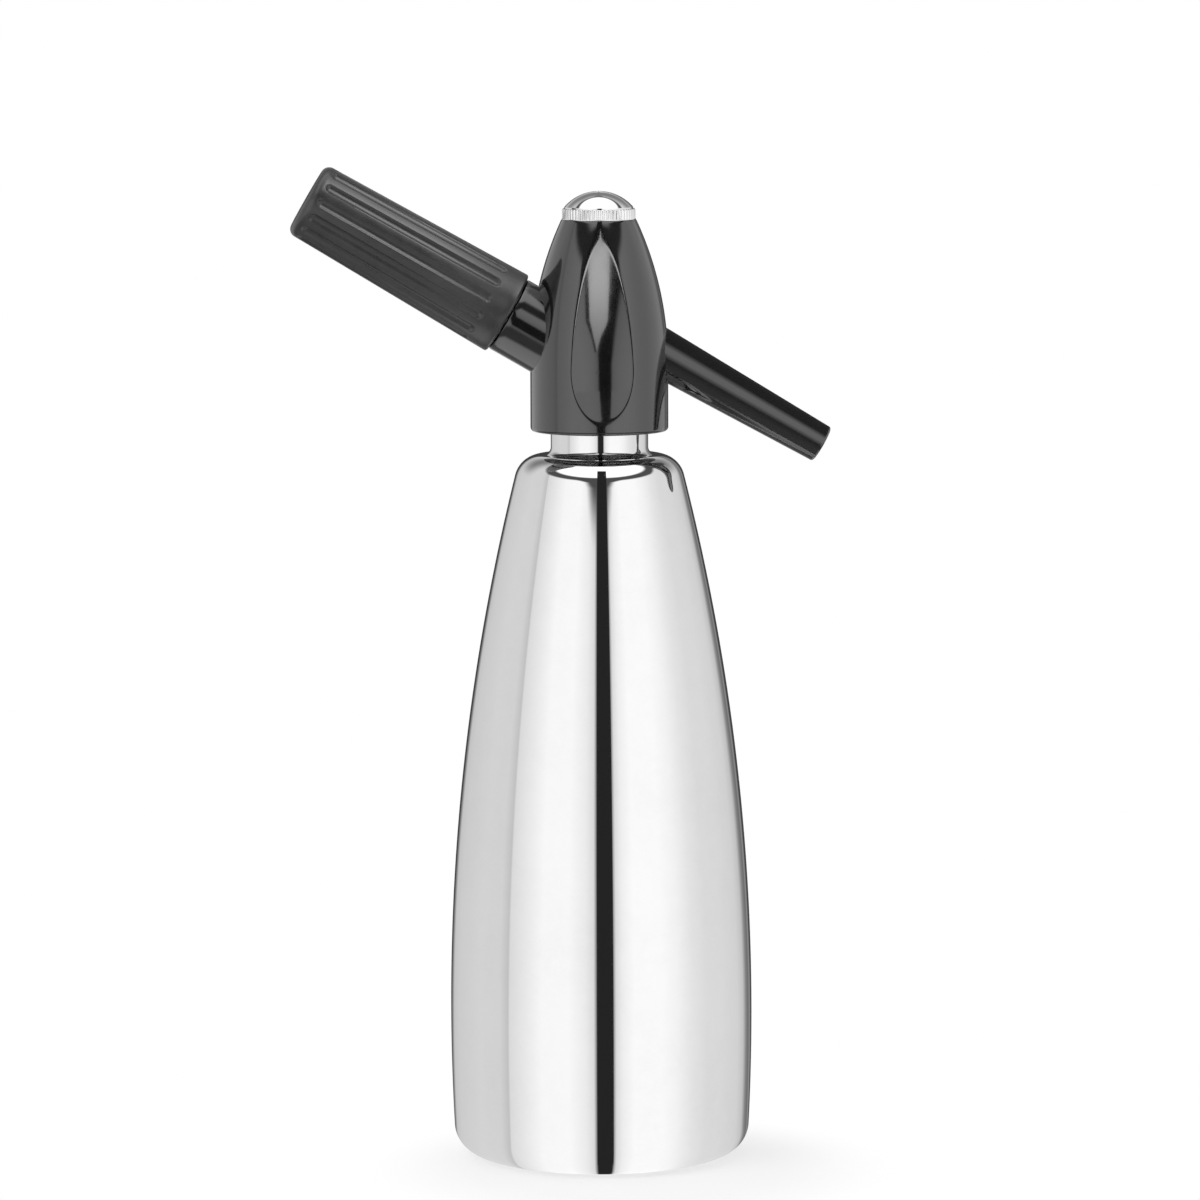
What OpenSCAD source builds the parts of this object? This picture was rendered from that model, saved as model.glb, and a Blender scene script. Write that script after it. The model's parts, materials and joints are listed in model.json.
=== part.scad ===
// Soda siphon: a polished steel bottle with a screwed-on head. The head has a push button on top, a
// tapered spout on one side and, on the other, a charging arm whose ribbed holder takes a gas charger.
// Sizes are in millimetres. The origin is the centre of the base, +Z is up and +X points to the spout.

/* [Bottle] */
// Radius of the bottle at its widest
bottle_r = 50; // [48:0.5:52]
// Height of the widest place above the base
bottle_widest_z = 47; // [40:1:55]
// Radius of the one long arc that shapes the belly
belly_arc_r = 735; // [700:5:800]
// Radius of the rounded shoulder
shoulder_round = 8.9; // [7:0.1:10]
// Radius of the rounded edge at the base
base_round = 9.5; // [6:0.5:12]
// Rise of the hollow under the base
base_hollow = 2.5; // [1:0.5:4]
// Radius of the hollow under the base
base_hollow_r = 35; // [28:1:37]
// Thickness of the steel
bottle_wall = 1.2; // [0.8:0.1:1.5]

/* [Neck] */
// Outer radius of the bottle's neck
neck_r = 16.05; // [15.8:0.05:16.2]
// Radius of the fillet between shoulder and neck
neck_fillet = 2.5; // [1.5:0.1:3]
// Radius of the filling opening
mouth_r = 13.4; // [13.2:0.1:13.6]
// Radius at the root of the neck's screw thread
thread_root_r = 15.2; // [15:0.1:15.4]
// Height of the screwed collar above the neck
collar_h = 13; // [12:0.5:14]

/* [Head] */
// Radius of the head
head_r = 22.7; // [22:0.1:24]
// Height of the head's lower edge
head_low_z = 240.7; // [240.6:0.1:241]
// Height where the straight side starts to curve in
head_straight_z = 266; // [262:0.5:268]
// Height of the head's top face
head_top_z = 309.8; // [309:0.1:311]
// Radius of the arc that narrows the head upwards
head_arc_r = 108; // [102:1:116]
// Radius of the rounded lower edge
head_edge = 1.3; // [0.5:0.1:2]
// Radius of the rounded top edge
crown_round = 0.6; // [0.3:0.1:1]
// Distance from the axis to the floor of the hollows at the front and back, where the floor bulges most
scoop_x = 19; // [18.6:0.1:19.4]
// Height at which the hollows' floor bulges most
scoop_z = 274.5; // [273:0.5:276]
// Radius of the floor's long upper arc, seen from the side
scoop_back_r = 119; // [112:1:126]
// Radius of the floor's short lower arc, on which it comes forward to the surface
scoop_foot_r = 37; // [34:1:40]
// Height at which the two arcs meet
scoop_join_z = 265; // [263:0.5:267]
// Angle above the horizontal of the axis about which the hollows' cutter is turned
scoop_tilt = 46; // [42:1:50]
// Distance from the head's axis at which the cutter's axis passes
scoop_axis_x = 50; // [48:0.5:52]
// Height at which the cutter's axis passes there
scoop_axis_z = 258; // [256:0.5:260]

/* [Button and valve] */
// Radius of the domed push button
button_r = 11.3; // [11:0.1:11.35]
// Radius of the button's dome
dome_r = 14.9; // [14:0.1:18]
// How far the button travels
button_travel = 2.2; // [1.5:0.1:2.2]
// Outer radius of the knurled ring
ring_r = 12.05; // [11.9:0.05:12.2]
// Height of the knurled ring
ring_h = 4; // [3.6:0.1:4.2]
// Teeth round the knurled ring
knurl_teeth = 58; // [40:1:72]
// Radius of the valve stem
stem_r = 2; // [1.8:0.1:2.1]
// Turns of the return spring
spring_turns = 6; // [5:1:7]
// Radius of the return spring's wire
spring_wire_r = 0.55; // [0.4:0.05:0.6]

/* [Riser] */
// Outer radius of the riser tube
riser_r = 4; // [3.8:0.1:4]
// Bore radius of the riser tube
riser_bore_r = 2.6; // [2.2:0.1:2.8]
// Height of the riser tube's lower end above the base
riser_low_z = 6; // [5:0.5:10]
// Gas holes round the tube hanger
hanger_holes = 6; // [4:1:8]

/* [Charging arm] */
// Height where the arm's axis meets the head's axis
arm_z = 262; // [261:0.2:263]
// Angle of the arm above level, in degrees
arm_rise = 30.2; // [29:0.1:31]
// Radius of the arm
arm_r = 12.9; // [12.4:0.1:13.2]
// Where the arm's outer face is, along its axis
arm_end = 34.6; // [34:0.1:35]
// Radius of the threaded stub that the holder screws on to
stub_r = 10.3; // [10:0.1:10.3]
// Length of the threaded stub
stub_len = 11.9; // [10:0.1:12]
// Radius of the spigot that holds the arm in the head
spigot_r = 7; // [6:0.1:7]

/* [Charger holder] */
// Length of the holder
holder_len = 75.8; // [75:0.1:77]
// Radius at the open end
holder_open_r = 14.25; // [14:0.05:14.4]
// Radius at the closed end
holder_closed_r = 12.8; // [12.5:0.05:13]
// Radius of the rounded closed end
holder_round = 2.8; // [2:0.1:3]
// Flutes round the holder
flutes = 14; // [8:1:16]
// Radius of a flute
flute_r = 2; // [1.6:0.1:2.2]
// Depth of a flute
flute_depth = 0.9; // [0.5:0.05:1]
// Turn of the flutes about the holder's axis, in degrees
flute_turn = -5.4; // [-12.8:0.1:12.8]

/* [Spout] */
// Height where the spout's axis meets the head's axis
spout_z = 278; // [277.5:0.1:278.5]
// Angle of the spout below level, in degrees
spout_fall = 29.25; // [28.5:0.05:30]
// Length of the spout from the head's axis
spout_len = 84.9; // [70:0.1:95]
// Radius of the spout where it leaves the head
spout_root_r = 8.4; // [8:0.1:8.6]
// Radius of the spout's tip
spout_tip_r = 5.7; // [5:0.1:6.5]
// Radius of the spout's bore
spout_bore_r = 2.5; // [2:0.1:2.6]

/* [Hidden] */
$fn = 96;

// Colours of the finishes
steel = [0.80, 0.81, 0.82];
chrome = [0.88, 0.89, 0.90];
gloss_black = [0.10, 0.10, 0.11];
satin_black = [0.17, 0.17, 0.18];
rubber = [0.08, 0.08, 0.08];
brass = [0.72, 0.58, 0.30];
nylon = [0.86, 0.86, 0.83];

// A hair's breadth between pieces that are screwed together, and a free gap round moving ones
screw_gap = 0.05;
free_gap = 0.3;
// A soft seal is this much smaller than its seat, before it is squeezed
soft_gap = 0.1;
// How far a cutting shape runs past the face that it opens
past = 1;

// A rounding circle stands this much proud of the arc that it rounds off, so that the two cross cleanly
proud = 0.005;
// How far bands of one profile run into each other
lap = 2;

// Centre of a small circle at height z that touches an arc from inside
function inside_x(arc_x, arc_z, arc_r, r, z) = arc_x + sqrt(pow(arc_r - r + proud, 2) - pow(z - arc_z, 2));
// Height where the two touch, when both are made smaller by the same inset
function touch_z(arc_z, arc_r, r, z, inset) = arc_z + (arc_r - inset) * (z - arc_z) / (arc_r - r);

// Bottle heights, from the base up
shoulder_top_z = 232.9;
shoulder_z = shoulder_top_z - shoulder_round;
neck_top_z = 240.5;
mouth_z = neck_top_z + collar_h;
belly_x = bottle_r - belly_arc_r;
base_x = inside_x(belly_x, bottle_widest_z, belly_arc_r, base_round, base_round);
shoulder_x = inside_x(belly_x, bottle_widest_z, belly_arc_r, shoulder_round, shoulder_z);
hollow_arc_r = (pow(base_hollow_r, 2) + pow(base_hollow, 2)) / (2 * base_hollow);

// Stack of seals and seats on the head's axis, from the mouth up
hanger_h = 1.2;
gasket_low_z = mouth_z + hanger_h;
gasket_h = 1.6;
socket_top_z = gasket_low_z + gasket_h;
plug_top_z = socket_top_z + 4.7;
riser_top_z = plug_top_z - 0.5;
nut_low_z = riser_top_z + button_travel + 0.5;
nut_h = 1.6;
disc_low_z = nut_low_z + nut_h;
disc_h = 1.5;
seat_low_z = disc_low_z + disc_h;
seat_h = 2.7;
outlet_low_z = seat_low_z + seat_h;
outlet_top_z = outlet_low_z + 14;
seal_low_z = outlet_top_z + 1.5;
guide_low_z = seal_low_z + 1.8;
guide_flange_z = guide_low_z + 7.7;
spring_low_z = guide_flange_z + 1.6;
ring_thread_z = head_top_z - 5.8;
ring_floor_z = head_top_z + 0.8;
button_low_z = ring_floor_z + button_travel + 0.2;
button_edge_z = button_low_z + 1.3;
spring_high_z = button_low_z + 1.5;

// Radii of the passages on the head's axis
socket_r = neck_r + 0.35;
plug_r = 7.2;
riser_cord_r = 0.95;
riser_groove_z = socket_top_z + 1.4;
valve_chamber_r = 5.2;
outlet_r = 4.6;
stem_foot_r = 1.2;
seal_bore_r = 3.85;
guide_r = 6.5;
guide_flange_r = 8.6;
seat_bore_r = stem_r + 1;
spring_mean_r = 5.6;
well_r = 9;
ring_thread_r = 10.9;

// Where things sit along the arm's axis, from the head's axis outwards
arm_floor_t = 13.5;
spigot_t = 15;
lip_t = 16.5;
lip_flange_t = 22.8;
pin_holder_t = 24;
pin_head_t = 29;
pin_shank_t = 30.5;
charger_seal_t = 38;
charger_t = 39.5;
charger_len = 65.5;
charger_r = 9;
charger_neck_r = 4.4;
pad_t = charger_t + charger_len;
pad_h = 1.5;
stub_end = arm_end + stub_len;
holder_open_t = arm_end + free_gap;
holder_closed_t = holder_open_t + holder_len;
cartridge_bore_r = charger_r + 0.4;
arm_bore_r = 5;
lip_room_r = 3.6;
insert_bore_r = stub_r + free_gap;
insert_r = insert_bore_r + 1.1;
insert_low_t = holder_open_t + 1.2;
insert_high_t = stub_end + 0.6;
gas_way_r = 1.1;
gas_way_x = -10.2;
gas_way_top_z = arm_z + 6;
gas_way_t = 11;

// Where things sit along the spout's axis
spout_floor_t = 10;
spout_spigot_t = 11.2;
spout_spigot_r = 4;
spout_root_t = 13;

// Puts a shape on the charging arm: its +Z runs outwards along the arm
module on_arm() {
    translate([0, 0, arm_z]) rotate([0, arm_rise - 90, 0]) children();
}

// Puts a shape on the spout: its +Z runs outwards along the spout
module on_spout() {
    translate([0, 0, spout_z]) rotate([0, 90 + spout_fall, 0]) children();
}

// A plain cylinder or cone between two heights
module rod(r, low, high, r_high) {
    translate([0, 0, low]) cylinder(r1 = r, r2 = is_undef(r_high) ? r : r_high, h = high - low);
}

// A flat-sided ring between two heights
module tube(outer, inner, low, high) {
    difference() {
        rod(outer, low, high);
        rod(inner, low - past, high + past);
    }
}

// A round sealing ring: mean radius, cord radius and the height of its middle
module o_ring(mean_r, cord_r, z) {
    translate([0, 0, z]) rotate_extrude() translate([mean_r, 0]) circle(r = cord_r, $fn = 32);
}

// The part of a disc in a half profile that lies between two heights
module disc_band(x, z, r, low, high) {
    intersection() {
        translate([x, z]) circle(r = r, $fn = 360);
        translate([0, low]) square([x + r + past, high - low]);
    }
}

// Half profile of the bottle, drawn in by an inset, up to a given height of the neck
module bottle_outline(inset, top) {
    belly_low = touch_z(bottle_widest_z, belly_arc_r, base_round, base_round, inset);
    belly_high = touch_z(bottle_widest_z, belly_arc_r, shoulder_round, shoulder_z, inset);
    disc_band(base_x, base_round, base_round - inset, inset, belly_low + lap);
    translate([0, inset]) square([base_x, belly_low + lap - inset]);
    disc_band(belly_x, bottle_widest_z, belly_arc_r - inset, belly_low, belly_high);
    disc_band(shoulder_x, shoulder_z, shoulder_round - inset, belly_high - lap, shoulder_top_z);
    translate([0, belly_high - lap]) square([shoulder_x, shoulder_top_z - inset - belly_high + lap]);
    translate([0, belly_high - lap]) square([neck_r - inset, top - belly_high + lap]);
    difference() {
        translate([neck_r - inset, shoulder_top_z - inset]) square(neck_fillet + inset);
        translate([neck_r + neck_fillet, shoulder_top_z + neck_fillet]) circle(r = neck_fillet + inset);
    }
}

// Half profile of the hollow under the base, grown by a wall
module base_hollow_outline(wall) {
    translate([0, base_hollow - hollow_arc_r]) circle(r = hollow_arc_r + wall, $fn = 360);
}

// Deep-drawn bottle, open at the neck
module bottle_shell() {
    color(steel) rotate_extrude() difference() {
        bottle_outline(0, neck_top_z);
        difference() {
            bottle_outline(bottle_wall, neck_top_z + past);
            base_hollow_outline(bottle_wall);
        }
        base_hollow_outline(0);
    }
}

// Turned collar that carries the screw thread, set into the bottle's neck
module neck_collar() {
    spigot = neck_r - bottle_wall - screw_gap;
    spigot_low_z = neck_top_z - 6;
    lip = 0.6;
    color(steel) difference() {
        union() {
            rod(spigot, spigot_low_z, neck_top_z);
            rod(thread_root_r, neck_top_z, mouth_z - lip);
            rod(thread_root_r, mouth_z - lip, mouth_z, thread_root_r - lip / 2);
        }
        rod(mouth_r, spigot_low_z - past, mouth_z + past);
    }
}

// Riser tube with notches at its foot, so that the base can't close it
module riser_tube() {
    notch_w = 2.4;
    notch_h = 4;
    color(nylon) difference() {
        tube(riser_r, riser_bore_r, riser_low_z, riser_top_z);
        for (turn = [0, 90]) {
            rotate([0, 0, turn]) translate([-riser_r - past, -notch_w / 2, riser_low_z - past])
                cube([2 * (riser_r + past), notch_w, notch_h + past]);
        }
    }
}

// Flange that hangs the riser tube in the bottle's mouth and lets the gas past
module tube_hanger() {
    hub_r = 6.3;
    hub_low_z = mouth_z - 8;
    rim_r = mouth_r - free_gap;
    rim_bore_r = rim_r - 1;
    rim_low_z = mouth_z - 2.5;
    hole_r = 1.6;
    color(nylon) difference() {
        union() {
            rod(thread_root_r - free_gap, mouth_z, gasket_low_z);
            tube(rim_r, rim_bore_r, rim_low_z, mouth_z);
            rod(hub_r, hub_low_z, mouth_z);
        }
        rod(riser_r, hub_low_z - past, gasket_low_z + past);
        for (i = [0 : hanger_holes - 1]) {
            rotate([0, 0, 360 / hanger_holes * (i + 0.5)]) translate([(hub_r + rim_bore_r) / 2, 0, 0])
                rod(hole_r, mouth_z - past, gasket_low_z + past);
        }
    }
}

// Flat gasket between the hanger and the head
module head_gasket() {
    overhang = 0.4;
    color(rubber) tube(neck_r - screw_gap, mouth_r - overhang, gasket_low_z, socket_top_z);
}

// Half profile of the head, before anything is cut out of it
module head_outline() {
    head_x = head_r - head_arc_r;
    crown_z = head_top_z - crown_round;
    crown_x = inside_x(head_x, head_straight_z, head_arc_r, crown_round, crown_z);
    crown_low = touch_z(head_straight_z, head_arc_r, crown_round, crown_z, 0);
    edge_top = head_low_z + head_edge;
    disc_band(head_r - head_edge, edge_top, head_edge, head_low_z, edge_top);
    translate([0, head_low_z]) square([head_r - head_edge, head_edge]);
    translate([0, edge_top]) square([head_r, head_straight_z - edge_top]);
    disc_band(head_x, head_straight_z, head_arc_r, head_straight_z, crown_low);
    disc_band(crown_x, crown_z, crown_round, crown_low - lap, head_top_z);
    translate([0, crown_low - lap]) square([crown_x, head_top_z - crown_low + lap]);
}

// Turns a side view of the head into a cutter, about an axis that leans away from the head
module turn_on_lean() {
    lean = 90 - scoop_tilt;
    translate([scoop_axis_x, 0, scoop_axis_z]) rotate([0, lean, 0])
        rotate_extrude($fn = 240) rotate(lean) translate([-scoop_axis_x, -scoop_axis_z]) children();
}

// Cutter for a hollow: one band in front of the floor's upper arc and one in front of its lower arc.
// The lower one bites a hair deeper, so that the two cross cleanly where the arcs meet.
module scoop() {
    behind = 8;
    front = 6;
    depth = 24;
    bite = 0.03;
    overlap = 0.5;
    turn = asin((scoop_join_z - scoop_z) / scoop_back_r);
    reach = scoop_back_r + scoop_foot_r;
    turn_on_lean() difference() {
        translate([scoop_x - behind, scoop_join_z - overlap])
            square([behind + front, head_top_z + behind - scoop_join_z]);
        translate([scoop_x - scoop_back_r, scoop_z]) circle(r = scoop_back_r, $fn = 720);
    }
    turn_on_lean() intersection() {
        translate([scoop_x - behind, scoop_join_z - depth]) square([behind + front, depth + front]);
        translate([scoop_x - scoop_back_r + reach * cos(turn) - bite, scoop_z + reach * sin(turn)])
            circle(r = scoop_foot_r, $fn = 360);
    }
}

// Outer form of the head: a bullet with a long teardrop hollow at the front and at the back
module head_form() {
    difference() {
        rotate_extrude() head_outline();
        rotate([0, 0, 90]) scoop();
        rotate([0, 0, 270]) scoop();
    }
}

// Moulded head with its screwed socket, valve passages, gas way and sockets for arm and spout
module head_body() {
    stem_room = 0.5;
    outlet_cross = 2;
    color(gloss_black) difference() {
        head_form();
        rod(socket_r, head_low_z - past, socket_top_z);
        rod(plug_r + screw_gap, socket_top_z - past, plug_top_z);
        rod(valve_chamber_r, plug_top_z - past, outlet_low_z);
        rod(outlet_r, outlet_low_z - past, outlet_top_z);
        rod(stem_r + stem_room, outlet_top_z - past, seal_low_z);
        rod(seal_bore_r, seal_low_z, guide_low_z);
        rod(guide_r + screw_gap, guide_low_z, guide_flange_z);
        rod(well_r, guide_flange_z, ring_thread_z);
        rod(ring_thread_r + screw_gap, ring_thread_z, head_top_z + past);
        on_arm() rod(spigot_r + screw_gap, arm_floor_t, arm_end);
        on_arm() rod(gas_way_r, gas_way_t, arm_floor_t + past);
        translate([gas_way_x, 0, 0]) rod(gas_way_r, socket_top_z - past, gas_way_top_z);
        on_spout() rod(spout_spigot_r + screw_gap, spout_floor_t, spout_len / 2);
        on_spout() rod(spout_bore_r, outlet_r - outlet_cross, spout_floor_t + past);
    }
}

// Screwed plug that closes the valve chamber and takes the top of the riser tube
module inlet_plug() {
    groove_r = riser_r + screw_gap + 2 * riser_cord_r;
    color(nylon) difference() {
        tube(plug_r, riser_r + free_gap, socket_top_z, plug_top_z);
        rod(groove_r, riser_groove_z, riser_groove_z + 2 * riser_cord_r);
    }
}

// Ring in the plug that seals round the riser tube
module riser_seal() {
    color(rubber) o_ring(riser_r + screw_gap + riser_cord_r, riser_cord_r, riser_groove_z + riser_cord_r);
}

// Seat that the valve disc closes from below
module valve_seat() {
    bevel = 1;
    color(brass) difference() {
        tube(valve_chamber_r, seat_bore_r, seat_low_z, outlet_low_z);
        rod(seat_bore_r, outlet_low_z - bevel, outlet_low_z, seat_bore_r + bevel);
    }
}

// Bush that guides the stem and carries the return spring
module stem_guide() {
    color(nylon) difference() {
        union() {
            rod(guide_r, guide_low_z, guide_flange_z);
            rod(guide_flange_r, guide_flange_z, spring_low_z);
        }
        rod(stem_r + screw_gap, guide_low_z - past, spring_low_z + past);
    }
}

// Sealing ring round the stem, under the guide
module stem_seal() {
    cord_r = 0.9;
    color(rubber) o_ring(stem_r + screw_gap + cord_r, cord_r, seal_low_z + cord_r);
}

// A round wire wound into an open coil, as rings of six points along a helix
module coil(mean_r, wire_r, low, high, turns) {
    sides = 6;
    rings = turns * 16;
    pitch = (high - low - 2 * wire_r) / turns;
    lead = atan(pitch / (2 * PI * mean_r));
    echo(coil_gap = pitch * cos(lead) - 2 * wire_r);
    points = [
        for (i = [0 : rings], s = [0 : sides - 1])
            let (
                a = 360 * turns * i / rings,
                side = 360 * s / sides,
                outward = wire_r * cos(side),
                along = wire_r * sin(side)
            )
            [
                (mean_r + outward) * cos(a) - along * sin(lead) * sin(a),
                (mean_r + outward) * sin(a) + along * sin(lead) * cos(a),
                low + wire_r + (high - low - 2 * wire_r) * i / rings - along * cos(lead)
            ]
    ];
    last = rings * sides;
    walls = [
        for (i = [0 : rings - 1], s = [0 : sides - 1])
            let (a = i * sides + s, b = i * sides + (s + 1) % sides)
            each [[a, b, a + sides], [b, b + sides, a + sides]]
    ];
    caps = [
        for (s = [1 : sides - 2])
            each [[0, s + 1, s], [last, last + s, last + s + 1]]
    ];
    polyhedron(points = points, faces = concat(walls, caps));
}

// Spring that lifts the button and closes the valve
module return_spring() {
    color(steel) coil(spring_mean_r, spring_wire_r, spring_low_z, spring_high_z, spring_turns);
}

// Knurled ring that screws into the head and guides the button
module button_ring() {
    knurl_depth = 0.32;
    band_h = 0.7;
    skirt_wall = 1;
    skirt_short = 0.3;
    band_out = 0.1;
    button_gap = 0.15;
    knurl = [
        for (i = [0 : 2 * knurl_teeth - 1])
            let (r = ring_r - (i % 2) * knurl_depth, a = 180 * i / knurl_teeth)
            [r * cos(a), r * sin(a)]
    ];
    color(chrome) difference() {
        union() {
            rod(ring_thread_r, ring_thread_z + skirt_short, head_top_z);
            rod(ring_r + band_out, head_top_z, head_top_z + band_h);
            translate([0, 0, head_top_z + band_h]) linear_extrude(ring_h - band_h) polygon(knurl);
        }
        rod(ring_thread_r - skirt_wall, ring_thread_z, ring_floor_z + past);
        rod(button_r + button_gap, ring_floor_z, head_top_z + ring_h + past);
    }
}

// Domed push button with a boss underneath that holds the stem
module push_button() {
    boss_r = 4.2;
    boss_low_z = button_low_z - 4.5;
    stem_hole_h = 3;
    rim_wall = 1.8;
    dome_z = button_edge_z - sqrt(pow(dome_r, 2) - pow(button_r, 2));
    color(chrome) difference() {
        union() {
            rod(button_r, button_low_z, button_edge_z);
            intersection() {
                translate([0, 0, dome_z]) sphere(r = dome_r);
                rod(button_r + past, button_edge_z, dome_z + dome_r + past);
            }
        }
        rod(button_r - rim_wall, button_low_z - past, spring_high_z);
    }
    color(chrome) difference() {
        rod(boss_r, boss_low_z, spring_high_z);
        rod(stem_r, boss_low_z - past, boss_low_z + stem_hole_h);
    }
}

// Stem between button and valve, with a thin foot for the disc and its nut
module valve_stem() {
    stem_top_z = button_low_z - 1.5;
    color(steel) rod(stem_r, seat_low_z, stem_top_z);
    color(steel) rod(stem_foot_r, nut_low_z, seat_low_z);
}

// Soft disc that closes against the seat
module valve_disc() {
    flow_gap = 1;
    color(rubber) tube(valve_chamber_r - flow_gap, stem_foot_r, disc_low_z, seat_low_z);
}

// Six-sided nut that clamps the disc to the stem
module stem_nut() {
    nut_r = 3.2;
    color(brass) difference() {
        translate([0, 0, nut_low_z]) cylinder(r = nut_r, h = nut_h, $fn = 6);
        rod(stem_foot_r, nut_low_z - past, disc_low_z + past);
    }
}

// Tapered spout, saddled on the head and plugged into it with a spigot
module spout() {
    tip_edge = 0.8;
    taper = (spout_root_r - spout_tip_r) / (spout_len - spout_root_t);
    edge_t = spout_len - tip_edge;
    edge_r = spout_tip_r + taper * tip_edge;
    color(gloss_black) difference() {
        union() {
            difference() {
                on_spout() rod(spout_root_r, spout_root_t, edge_t, edge_r);
                head_form();
            }
            on_spout() rod(edge_r, edge_t, spout_len, spout_tip_r - tip_edge / 2);
            on_spout() rod(spout_spigot_r, spout_spigot_t, spout_len / 2);
        }
        on_spout() rod(spout_bore_r, spout_spigot_t - past, spout_len + past);
    }
}

// Washer under the spout's spigot
module spout_seal() {
    color(rubber) on_spout() tube(spout_spigot_r - soft_gap, spout_bore_r, spout_floor_t, spout_spigot_t);
}

// Charging arm, saddled on the head, with the threaded stub for the holder
module charging_arm() {
    arm_edge = 0.7;
    stub_edge = 0.8;
    color(gloss_black) difference() {
        union() {
            difference() {
                on_arm() rod(arm_r, arm_floor_t, arm_end - arm_edge);
                head_form();
            }
            on_arm() rod(arm_r, arm_end - arm_edge, arm_end, arm_r - arm_edge);
            on_arm() rod(stub_r, arm_end - past, stub_end - stub_edge);
            on_arm() rod(stub_r, stub_end - stub_edge, stub_end, stub_r - stub_edge);
            on_arm() rod(spigot_r, spigot_t, arm_end - past);
        }
        on_arm() rod(gas_way_r, spigot_t - past, lip_t + past);
        on_arm() rod(lip_room_r, lip_t, lip_flange_t + past);
        on_arm() rod(arm_bore_r, lip_flange_t, stub_end + past);
    }
}

// Washer under the arm's spigot
module arm_seal() {
    color(rubber) on_arm() tube(spigot_r - soft_gap, gas_way_r + free_gap, arm_floor_t, spigot_t);
}

// Soft non-return valve: a flange with a narrowing lip that opens towards the head
module check_valve() {
    flange_r = arm_bore_r - screw_gap;
    lip_tip_t = lip_t + 1;
    lip_wall = 0.6;
    lip_tip_r = 1.4;
    lip_root_r = 3;
    throat_r = 2;
    color(rubber) on_arm() difference() {
        union() {
            rod(flange_r, lip_flange_t, pin_holder_t);
            rod(lip_tip_r, lip_tip_t, lip_flange_t, lip_root_r);
        }
        rod(lip_wall, lip_tip_t + lip_wall, pin_holder_t + past, throat_r);
    }
}

// Screwed insert that holds the piercing pin
module pin_holder() {
    slot_w = 1.2;
    slot_h = 1;
    head_bore_r = 2.2;
    pin_bore_r = 0.95;
    color(brass) on_arm() difference() {
        rod(arm_bore_r - screw_gap, pin_holder_t, charger_seal_t);
        rod(head_bore_r, pin_holder_t - past, pin_shank_t);
        rod(pin_bore_r, pin_shank_t - past, charger_seal_t + past);
        translate([-arm_bore_r, -slot_w / 2, charger_seal_t - slot_h])
            cube([2 * arm_bore_r, slot_w, slot_h + past]);
    }
}

// Pointed pin with a flat along it for the gas
module piercing_pin() {
    pin_r = 0.9;
    pin_head_r = 2.15;
    tip_t = charger_t + 3.6;
    point_t = tip_t - 1.8;
    point_r = 0.05;
    flat_cut = 3;
    color(steel) on_arm() difference() {
        union() {
            rod(pin_head_r, pin_head_t, pin_shank_t);
            rod(pin_r, pin_shank_t, point_t);
            rod(pin_r, point_t, tip_t, point_r);
        }
        translate([-flat_cut, pin_r / 2, pin_head_t - past]) cube([2 * flat_cut, flat_cut, charger_len]);
    }
}

// Ring that the mouth of the charger is pressed against
module charger_seal() {
    way_r = 1.6;
    color(rubber) on_arm() tube(arm_bore_r - soft_gap, way_r, charger_seal_t, charger_t);
}

// Steel gas charger with a round base and a narrow neck, pierced at its mouth
module gas_charger() {
    wall = 1.3;
    base_t = charger_t + charger_len - charger_r;
    shoulder_t = charger_t + 18;
    cap = 1.6;
    pierced_r = 1.25;
    color(steel) on_arm() difference() {
        union() {
            translate([0, 0, base_t]) sphere(r = charger_r);
            rod(charger_r, shoulder_t, base_t);
            translate([0, 0, shoulder_t]) sphere(r = charger_r);
            rod(charger_neck_r, charger_t, shoulder_t);
        }
        translate([0, 0, base_t]) sphere(r = charger_r - wall);
        rod(charger_r - wall, shoulder_t, base_t);
        translate([0, 0, shoulder_t]) sphere(r = charger_r - wall);
        rod(charger_neck_r - wall, charger_t + cap, shoulder_t);
        rod(pierced_r, charger_t - past, charger_t + cap + past);
    }
}

// Pad in the closed end of the holder that presses on the charger's base
module holder_pad() {
    color(rubber) on_arm() rod(cartridge_bore_r - soft_gap, pad_t, pad_t + pad_h);
}

// Half profile of the holder's outside: a slow taper with a round closed end
module holder_outline() {
    open_edge = 0.8;
    lean = atan((holder_open_r - holder_closed_r) / holder_len);
    round_t = holder_closed_t - holder_round;
    round_x = holder_closed_r - holder_round;
    difference() {
        polygon([
            [0, holder_open_t], [holder_open_r - open_edge, holder_open_t],
            [holder_open_r, holder_open_t + open_edge], [holder_closed_r, holder_closed_t],
            [0, holder_closed_t]
        ]);
        difference() {
            translate([round_x, round_t]) square(holder_round + past);
            translate([round_x, round_t]) rotate(lean) circle(r = holder_round);
        }
    }
}

// Ribbed holder: a cup that screws on to the stub and presses the charger on to the pin
module charger_holder() {
    lean = atan((holder_open_r - holder_closed_r) / holder_len);
    flute_low = 9;
    flute_high = holder_len - 5;
    flute_x = holder_open_r + flute_r - flute_depth;
    color(satin_black) on_arm() difference() {
        rotate_extrude() holder_outline();
        rod(insert_r, holder_open_t - past, insert_high_t);
        rod(cartridge_bore_r, holder_open_t - past, pad_t + pad_h);
        for (i = [0 : flutes - 1]) {
            around = flute_turn + 360 * i / flutes;
            rotate([0, 0, around]) translate([flute_x, 0, holder_open_t]) rotate([0, -lean, 0]) {
                rod(flute_r, flute_low, flute_high);
                translate([0, 0, flute_low]) sphere(r = flute_r);
                translate([0, 0, flute_high]) sphere(r = flute_r);
            }
        }
    }
}

// Threaded metal ring moulded into the open end of the holder
module holder_insert() {
    color(brass) on_arm() tube(insert_r, insert_bore_r, insert_low_t, insert_high_t);
}

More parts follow.
